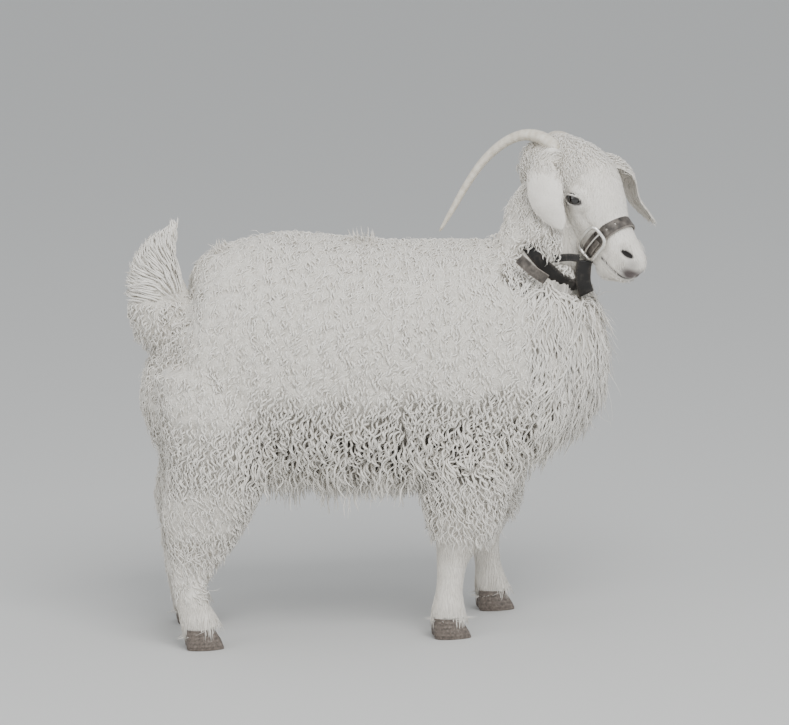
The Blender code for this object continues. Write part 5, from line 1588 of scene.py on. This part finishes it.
# Each lock's half width, half thickness, wave to the side, wave in and out, turns of the wave, and length
WIDE, THICK, SIDE_WAVE, OUT_WAVE, TURNS, LENGTH = range(6)
FELTED = np.array([0.0024, 0.0012, 0.0022, 0.0012, 1.05, 0.0165])
OPEN_CURL = np.array([0.0022, 0.0017, 0.0060, 0.0042, 1.45, 0.038])
CHEST_TRESS = np.array([0.0029, 0.0015, 0.0030, 0.0018, 1.3, 0.054])
EAR_HAIR = np.array([0.0011, 0.0005, 0.0002, 0.0001, 0.4, 0.010])
EAR_WOOL = np.array([0.0017, 0.0009, 0.0016, 0.0009, 1.0, 0.014])
HOOF_FRINGE, FRINGE_TOP = (0.0011, 0.0006, 0.0004, 0.0003, 0.4, 0.0190), 0.062
LOCKS = {
    LEG: (0.0020, 0.0012, 0.0034, 0.0022, 1.25, 0.0235),
    CROWN: (0.0014, 0.0008, 0.0018, 0.0010, 1.1, 0.0125),
    TAIL_TUFT: (0.0023, 0.0012, 0.0010, 0.0006, 0.7, 0.036),
    FACE: (0.0008, 0.0004, 0.0, 0.0, 0.0, 0.0070),
    SHIN: (0.0009, 0.0005, 0.0, 0.0, 0.0, 0.0100),
}


def traits_of(points, kinds):
    """Each lock's traits: the trunk's blend from felted to open curls, and the rest go by their kind."""
    x, _, z = points.T
    loose = openness(points)
    table = FELTED * (1 - loose[:, None]) + OPEN_CURL * loose[:, None]
    chest = (eased(x, 0.17, 0.25) * eased(z, 0.62, 0.56) * eased(z, 0.30, 0.36))[:, None]
    table = table * (1 - chest) + CHEST_TRESS * chest
    for kind, lock in LOCKS.items():
        table[kinds == kind] = lock
    table[(kinds == SHIN) & (z < FRINGE_TOP)] = HOOF_FRINGE
    on_ear = np.isin(kinds, ON_EARS)
    table[on_ear] = (EAR_HAIR * (1 - woolly_ear) + EAR_WOOL * woolly_ear)[on_ear]
    uneven = 1 + 0.62 * ripples(points, 0.038, 21).clip(-1, 0.8)
    table[:, LENGTH] *= 1 + (uneven - 1) * loose * (kinds == BELLY)
    return table


traits = traits_of(points, kinds)

# Peaks along the back and rump, where tufts stand up: x, y, z, height, reach
PEAKS = (
    (-0.058, -0.020, 0.648, 0.009, 0.020), (-0.038, -0.020, 0.650, 0.011, 0.015),
    (-0.262, -0.010, 0.640, 0.003, 0.020), (-0.318, -0.020, 0.603, 0.003, 0.020),
)
lift = np.zeros(len(points))
for x, y, z, height, reach in PEAKS:
    way = np.array([x, y, z + 0.03]) - points
    gap = np.hypot(way[:, 0], way[:, 1]) / reach
    near = np.where((kinds == TRUNK) & (points[:, 2] > 0.5), np.clip(1 - gap**2, 0, 1), 0)
    lift = np.maximum(lift, height * near)
    lies = unit(lies * (1 - 0.8 * near)[:, None] + 0.8 * unit(way) * near[:, None])
# Tips stand off the chest in tufts, and the wool of the forelegs flares over the knee
CHEST_LIFT, KNEE_LIFT = 0.011, 0.010
x, _, z = points.T
on_chest = eased(x, 0.24, 0.30) * eased(z, 0.56, 0.50) * eased(z, 0.32, 0.38)
tufts = np.clip(ripples(points, 0.050, 17) - 0.1, 0, 1)
lift = lift + CHEST_LIFT * on_chest * tufts * (kinds == TRUNK)
lift = lift + KNEE_LIFT * (kinds == LEG) * (x > 0) * eased(z, 0.250, 0.185)


def shortened():
    """Locks that would hang over a strap end just short of it, and lie flatter."""
    for i in np.flatnonzero((points[:, 0] > 0.10) & (points[:, 2] > 0.50)):
        start = Vector(points[i] + normals[i] * 0.0015)
        hit = straps.ray_cast(start, Vector(lies[i]), 0.06)
        if hit[0] is not None:
            reach = max(hit[3] - 0.002, 0.004)
            share = min(1.0, reach / (1.1 * traits[i, LENGTH]))
            traits[i, LENGTH] *= share
            depths[i] *= 0.45 + 0.55 * share
        near = straps.find_nearest(start)[3]
        depths[i] *= float(eased(np.array(near), 0.0, 0.016)) * 0.5 + 0.5


shortened()


TAIL_TOP = 0.672


def within_the_tail():
    """Tail locks end a little past the tail's outer form."""
    for i in np.flatnonzero(kinds == TAIL_TUFT):
        hit = outer_body.ray_cast(Vector(points[i] + normals[i] * 0.004), Vector(lies[i]), 0.2)
        if hit[0] is not None:
            traits[i, LENGTH] = min(traits[i, LENGTH], hit[3] + 0.004)
    tip = (kinds == TAIL_TUFT) & (points[:, 2] > 0.615)
    room = np.clip(TAIL_TOP - points[tip, 2], 0.008, 1)
    traits[tip, LENGTH] = np.minimum(traits[tip, LENGTH], room)


within_the_tail()
phases = 1.1 * waver(points, 45.0, 8.3)[:, 0]
phases = phases + (0.14 + 0.16 * openness(points)) * rng.normal(size=len(points))
print("locks from", *np.round(1000 * np.percentile(traits[:, LENGTH], (1, 99))), "mm long")


# %% [markdown]
# A lock is a thin tapered tube on a waving path. All the locks of a piece are worked out at once, as one
# array of locks by rings by sides, and a piece is split where it would hold too many triangles.

# %% Locks
def lock_paths(chosen, rows):
    """Each lock's path: off the skin, over, and along the coat in waves to the side and in and out."""
    p, n, d, h = points[chosen], normals[chosen], lies[chosen], depths[chosen][:, None]
    wide, thick, side_wave, out_wave, turns, length = traits[chosen].T[..., None]
    count = len(p)
    length = length * (0.8 + 0.4 * rng.random((count, 1)))
    t = np.concatenate([[0.0], np.linspace(0.16, 1, rows - 1)])[None]
    top = np.maximum(h - out_wave - thick, 0.0007) * (0.88 + 0.16 * rng.random((count, 1)))
    sit = 1 - np.clip(1 - t / 0.42, 0, 1) ** 2
    short = np.isin(kinds[chosen], SHORT)
    fall = np.where(short[:, None], 0.55, 0.16) * np.clip(t - 0.45, 0, 1) / 0.55
    out = top * (sit - fall) - 0.0008 * (1 - t) + lift[chosen][:, None] * t**1.4
    ahead = length * np.clip((t - 0.06) / 0.94, 0, 1) ** 1.15
    swing = 2 * math.pi * (turns * t + phases[chosen][:, None])
    grown = np.clip(t * 2.6, 0, 1) * (1 - 0.25 * t)
    side = np.cross(n, d)
    aside = side_wave * grown * np.sin(swing)
    path = p[:, None] + (out + out_wave * grown * np.cos(swing))[..., None] * n[:, None]
    path = path + ahead[..., None] * d[:, None] + aside[..., None] * side[:, None]
    return path, t, wide * (0.85 + 0.35 * rng.random((count, 1))), thick


PATCH_SIZE = 0.003  # of a lock's patch on the skin's unwrap
MOST_TRIANGLES = 190000  # in one piece


def lock_mesh(name, chosen, rows, sides, material):
    """Locks as tapered tubes on waving paths, all worked out at once.

    Every lock is rows rings of sides points, each ring an ellipse square to the path, its half width
    going as sin(pi (0.1 + 0.9 t))^0.5 (1 - t / 2), and a point at each end.
    """
    path, t, wide, thick = lock_paths(chosen, rows)
    n = normals[chosen][:, None]
    count = len(path)
    along = unit(np.gradient(path, axis=1))
    second = unit(n - along * np.sum(n * along, axis=2, keepdims=True) + 1e-6)
    first = np.cross(along, second)
    taper = np.sin(np.clip(0.1 + 0.9 * t, 0, 1) * math.pi).clip(0.02) ** 0.5 * (1 - 0.5 * t)
    angles = full_turn(sides)
    w, k = (wide * taper)[..., None, None], (thick * taper)[..., None, None]
    rings = path[:, :, None] + w * np.cos(angles)[:, None] * first[:, :, None]
    rings = rings + k * np.sin(angles)[:, None] * second[:, :, None]
    ends = np.stack([path[:, 0] - along[:, 0] * 0.0004, path[:, -1] + along[:, -1] * wide * 0.5], axis=1)
    verts = np.concatenate([rings.reshape(count, -1, 3), ends], axis=1)
    each = rows * sides + 2
    quads = grid_faces(rows, sides)
    base = (np.arange(count) * each)[:, None, None]
    parts = [(faces[None] + base).reshape(count, -1) for faces in (quads, *cap_faces(rows, sides))]
    loops = np.concatenate(parts, axis=1).ravel()
    sizes = np.tile(np.repeat([4, 3], [len(quads), 2 * sides]), count)
    mesh = bpy.data.meshes.new(name)
    mesh.vertices.add(count * each)
    mesh.vertices.foreach_set("co", verts.astype(np.float32).ravel())
    mesh.loops.add(len(loops))
    mesh.loops.foreach_set("vertex_index", loops.astype(np.int32))
    mesh.polygons.add(len(sizes))
    starts = np.concatenate([[0], np.cumsum(sizes)[:-1]])
    mesh.polygons.foreach_set("loop_start", starts.astype(np.int32))
    mesh.update(calc_edges=True)
    # The lock's own map goes round it and along it; its patch lies on the skin's unwrap, at its root
    around = np.concatenate([np.tile(np.arange(sides) / sides, rows), [0.5, 0.5]])
    length = np.concatenate([np.repeat(t[0], sides), [0.0, 1.0]])
    own = np.stack([around, length], 1)[None] + 7 * rng.random((count, 1, 2))
    patch = places[chosen][:, None] + (np.stack([around, length], 1)[None] - 0.5) * PATCH_SIZE
    for layer, flat in (("Lock", own), ("OFBake", patch)):
        spread = flat.reshape(-1, 2)[loops].astype(np.float32).ravel()
        mesh.uv_layers.new(name=layer).uv.foreach_set("vector", spread)
    # Roots are painted dark, as the shade in the gaps between the curls, where the fleece is open, and
    # nearly as pale as the tips where it is felted
    low = np.repeat(openness(points[chosen]) * np.isin(kinds[chosen], (TRUNK, BELLY)), each)
    depth = np.tile(length**0.5, count)
    depth = (0.62 + 0.38 * depth) * (1 - low) + (0.10 + 0.86 * depth) * low
    give(mesh, depth=depth, shade=np.repeat(rng.normal(0, 0.05, count), each))
    mesh.shade_smooth()
    print(name, count, "locks,", int((sizes - 2).sum()), "triangles")
    return link(name, mesh, material)


def pieces_of(name, where, rows, sides, material):
    """As many meshes as it takes to hold these locks, each within the limit of triangles."""
    chosen = np.flatnonzero(where)
    chosen = chosen[np.argsort(points[chosen, 0])]
    parts = max(1, math.ceil(len(chosen) * rows * sides * 2 / MOST_TRIANGLES))
    split = np.array_split(chosen, parts)
    return [lock_mesh(f"{name}_{i}", part, rows, sides, material) for i, part in enumerate(split)]


# %% [markdown]
# Between the curls of a real fleece one sees more wool, not skin. A felted mat stands for it: the body's
# form a tenth of the coat in from its tips, lumpy all over. Where the curls part it would show as a
# shell, so there a Shrinkwrap modifier draws it in under the skin, as far as a vertex group says.

# %% Underwool
MAT_SHARE, MAT_CELL, MAT_UNDER_SKIN = 0.10, 0.0060, -0.0022


def sunk_share(spots, kinds):
    """How far the mat sinks to the skin: 1 on the face, the shins, by the straps and where curls part."""
    x, _, z = spots.T
    bottom = np.where(x > 0, 0.045, 0.0)
    sunk = np.maximum(0.92 * openness(spots), eased(z, 0.20 + bottom, 0.14 + bottom))
    shown = np.concatenate([read(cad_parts[name].data.vertices, "co", 3) for name in STRAPS]) - SHIFT
    shown = shown[shown[:, 2] < COLLAR_SHOWS_BELOW + 0.004]
    close = np.flatnonzero((x > 0.12) & (z > 0.48))
    sunk[close] = np.maximum(sunk[close], eased(gap_to(spots[close], shown), 0.036, 0.020))
    sunk[kinds == FACE] = 1.0
    return sunk


def underwool():
    """The mat: its points move along their normals by two sizes of ripple, then sink by their share."""
    mat = body_form("underwool", MAT_SHARE)
    remesh = mat.modifiers.new("Remesh", "REMESH")
    remesh.mode, remesh.voxel_size = "VOXEL", MAT_CELL
    settled(mat)
    shape = mat.data
    shape.update()
    spots, ways = read(shape.vertices, "co", 3), read(shape.vertices, "normal", 3)
    kind = kinds_of(spots)
    sunk = sunk_share(spots, kind)
    lumps = 0.0016 * ripples(spots, 0.021, 3) + 0.0012 * ripples(spots, 0.010, 5) - 0.0008
    lumps = lumps - 0.0040 * eased(spots[:, 0], -0.315, -0.350) * eased(spots[:, 2], 0.40, 0.46)
    move = (lumps + 0.8 * fuller(spots) * np.isin(kind, FLEECY)) * (1 - sunk)
    spots = spots + ways * move[:, None]
    move_points(shape, spots)
    # low paints the mat dark where the fleece is open, a painted shade in the gaps between the curls
    give(shape, low=openness(spots))
    shape.shade_smooth()
    shape.materials.clear()
    shape.materials.append(FELT)
    weights = mat.vertex_groups.new(name="sunk")
    for tenth in range(1, 11):
        weights.add(np.flatnonzero(np.round(sunk * 10) == tenth).tolist(), tenth / 10, "REPLACE")
    draw_in = mat.modifiers.new("Sink", "SHRINKWRAP")
    draw_in.target, draw_in.vertex_group, draw_in.offset = SKIN, "sunk", MAT_UNDER_SKIN
    settled(mat)
    mat.vertex_groups.clear()
    unwrap(mat)
    print("underwool", len(mat.data.polygons), "faces")
    return mat


# %% [markdown]
# The locks are made kind by kind, each with as few sides as its size needs. A quarter of them get a wisp
# as well: a thin strand that strays from the rest, which keeps the fleece from looking combed.

# %% The whole coat
WISP_SHARE = 0.26


def wisps_of(where):
    """Thin stray strands among the locks, a little longer and standing a little further out."""
    kept = traits.copy(), phases.copy(), lies.copy()
    traits[where, WIDE] = 0.0008
    traits[where, THICK] = 0.0006
    traits[where, LENGTH] *= 1.25
    phases[:] += 0.5
    lies[:] = unit(lies + 0.45 * rng.normal(size=lies.shape))
    lies[:] = unit(lies - 0.7 * normals * np.sum(lies * normals, axis=1, keepdims=True))
    made = pieces_of("fleece_wisps", where, 7, 3, FLEECE)
    traits[:], phases[:], lies[:] = kept
    return made


coat = [underwool()]
coat += pieces_of("fleece_trunk", kinds == TRUNK, 7, 3, FLEECE)
coat += pieces_of("fleece_skirt", kinds == BELLY, 10, 4, FLEECE)
coat += wisps_of((rng.random(len(points)) < WISP_SHARE) & np.isin(kinds, FLEECY))
coat += pieces_of("fleece_legs", kinds == LEG, 8, 3, FLEECE)
coat += pieces_of("fleece_crown", kinds == CROWN, 7, 3, FLEECE)
coat += pieces_of("tail_locks", kinds == TAIL_TUFT, 8, 4, LONG_HAIR)
coat += pieces_of("face_hair", kinds == FACE, 4, 3, SHORT_HAIR)
coat += pieces_of("shin_hair", kinds == SHIN, 4, 3, SHORT_HAIR)
coat += pieces_of("ear_hair_right", kinds == EAR_RIGHT, 6, 3, SHORT_HAIR)
coat += pieces_of("ear_hair_left", kinds == EAR_LEFT, 6, 3, SHORT_HAIR)
print("coat:", sum(len(piece.data.polygons) for piece in coat), "faces")

# %% [markdown]
# ## What stands for what
# The skin stands for the eight solids of flesh, and each horn, eye, claw, ear and strap stands for the
# node of its name. The nodes stay for collision, unseen. Everything was drawn round the drawing's own
# origin, so the last step moves it to the middle of the model's box, in the meshes themselves.

# %% Stand for the solids
FLESH = ("head", "neck", "torso", "tail", *("leg_" + leg for leg in sorted(STANCE)))
stand_ins = {**horns, **eyes, **claws, "ear_right": ears[0], "ear_left": ears[1]}
straps_made = [piece for pair in halter.values() for piece in pair]
for piece in [SKIN] + coat + list(stand_ins.values()) + straps_made:
    piece.data.transform(Matrix.Translation(SHIFT))
    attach(piece, "root")
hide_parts(*FLESH)
for name, piece in stand_ins.items():
    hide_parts(name)
for name, pieces in halter.items():
    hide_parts(name)
for mesh in [SKIN.data] + [node.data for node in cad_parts.values()]:
    mesh.materials.clear()
    mesh.materials.append(HIDE)
SKIN.data.shade_smooth()
print("pieces:", 1 + len(coat) + len(stand_ins) + len(straps_made))

# %% [markdown]
# ## Light and floor
# The light is that of a bright overcast day: a pale sky all round, one broad soft lamp high in front for
# the shape of the fleece, and two weak ones that open the shadows at the rump and under the chest.

# %% Studio
FLOOR_HALF = 40.0
floor_mesh = bpy.data.meshes.new("floor")
corners = [(x * FLOOR_HALF, y * FLOOR_HALF, 0) for x, y in ((-1, -1), (1, -1), (1, 1), (-1, 1))]
floor_mesh.from_pydata(corners, [], [(0, 1, 2, 3)])
floor = link("floor", floor_mesh, surface("studio_floor", Roughness=0.9, Base_Color=colour("#C9C9C7"))[0])
world = bpy.data.worlds.new("studio")
bpy.context.scene.world = world
world.use_nodes = True
sky = world.node_tree.nodes["Background"]
sky.inputs["Color"].default_value = colour("#E6E9EC")
sky.inputs["Strength"].default_value = 0.95


def area_light(name, place, aim, size, watts):
    """A square lamp at a place, turned to its aim."""
    data = bpy.data.lights.new(name, "AREA")
    data.size, data.energy = size, watts
    light = bpy.data.objects.new(name, data)
    bpy.context.scene.collection.objects.link(light)
    light.location = place
    light.rotation_mode = "QUATERNION"
    light.rotation_quaternion = (Vector(aim) - Vector(place)).to_track_quat("-Z", "Y")


area_light("key", (0.6, -3.4, 4.0), (0, 0, 0.4), 2.6, 200)
area_light("fill", (-3.2, -2.2, 2.0), (0, 0, 0.4), 3.0, 40)
area_light("low", (2.8, -2.8, 0.7), (0.3, 0, 0.5), 2.0, 26)

# %% [markdown]
# ## Finish
# The scene is brought up to date. The coat may stand a little proud of the solids and no more.

# %% Finish
bpy.context.view_layer.update()
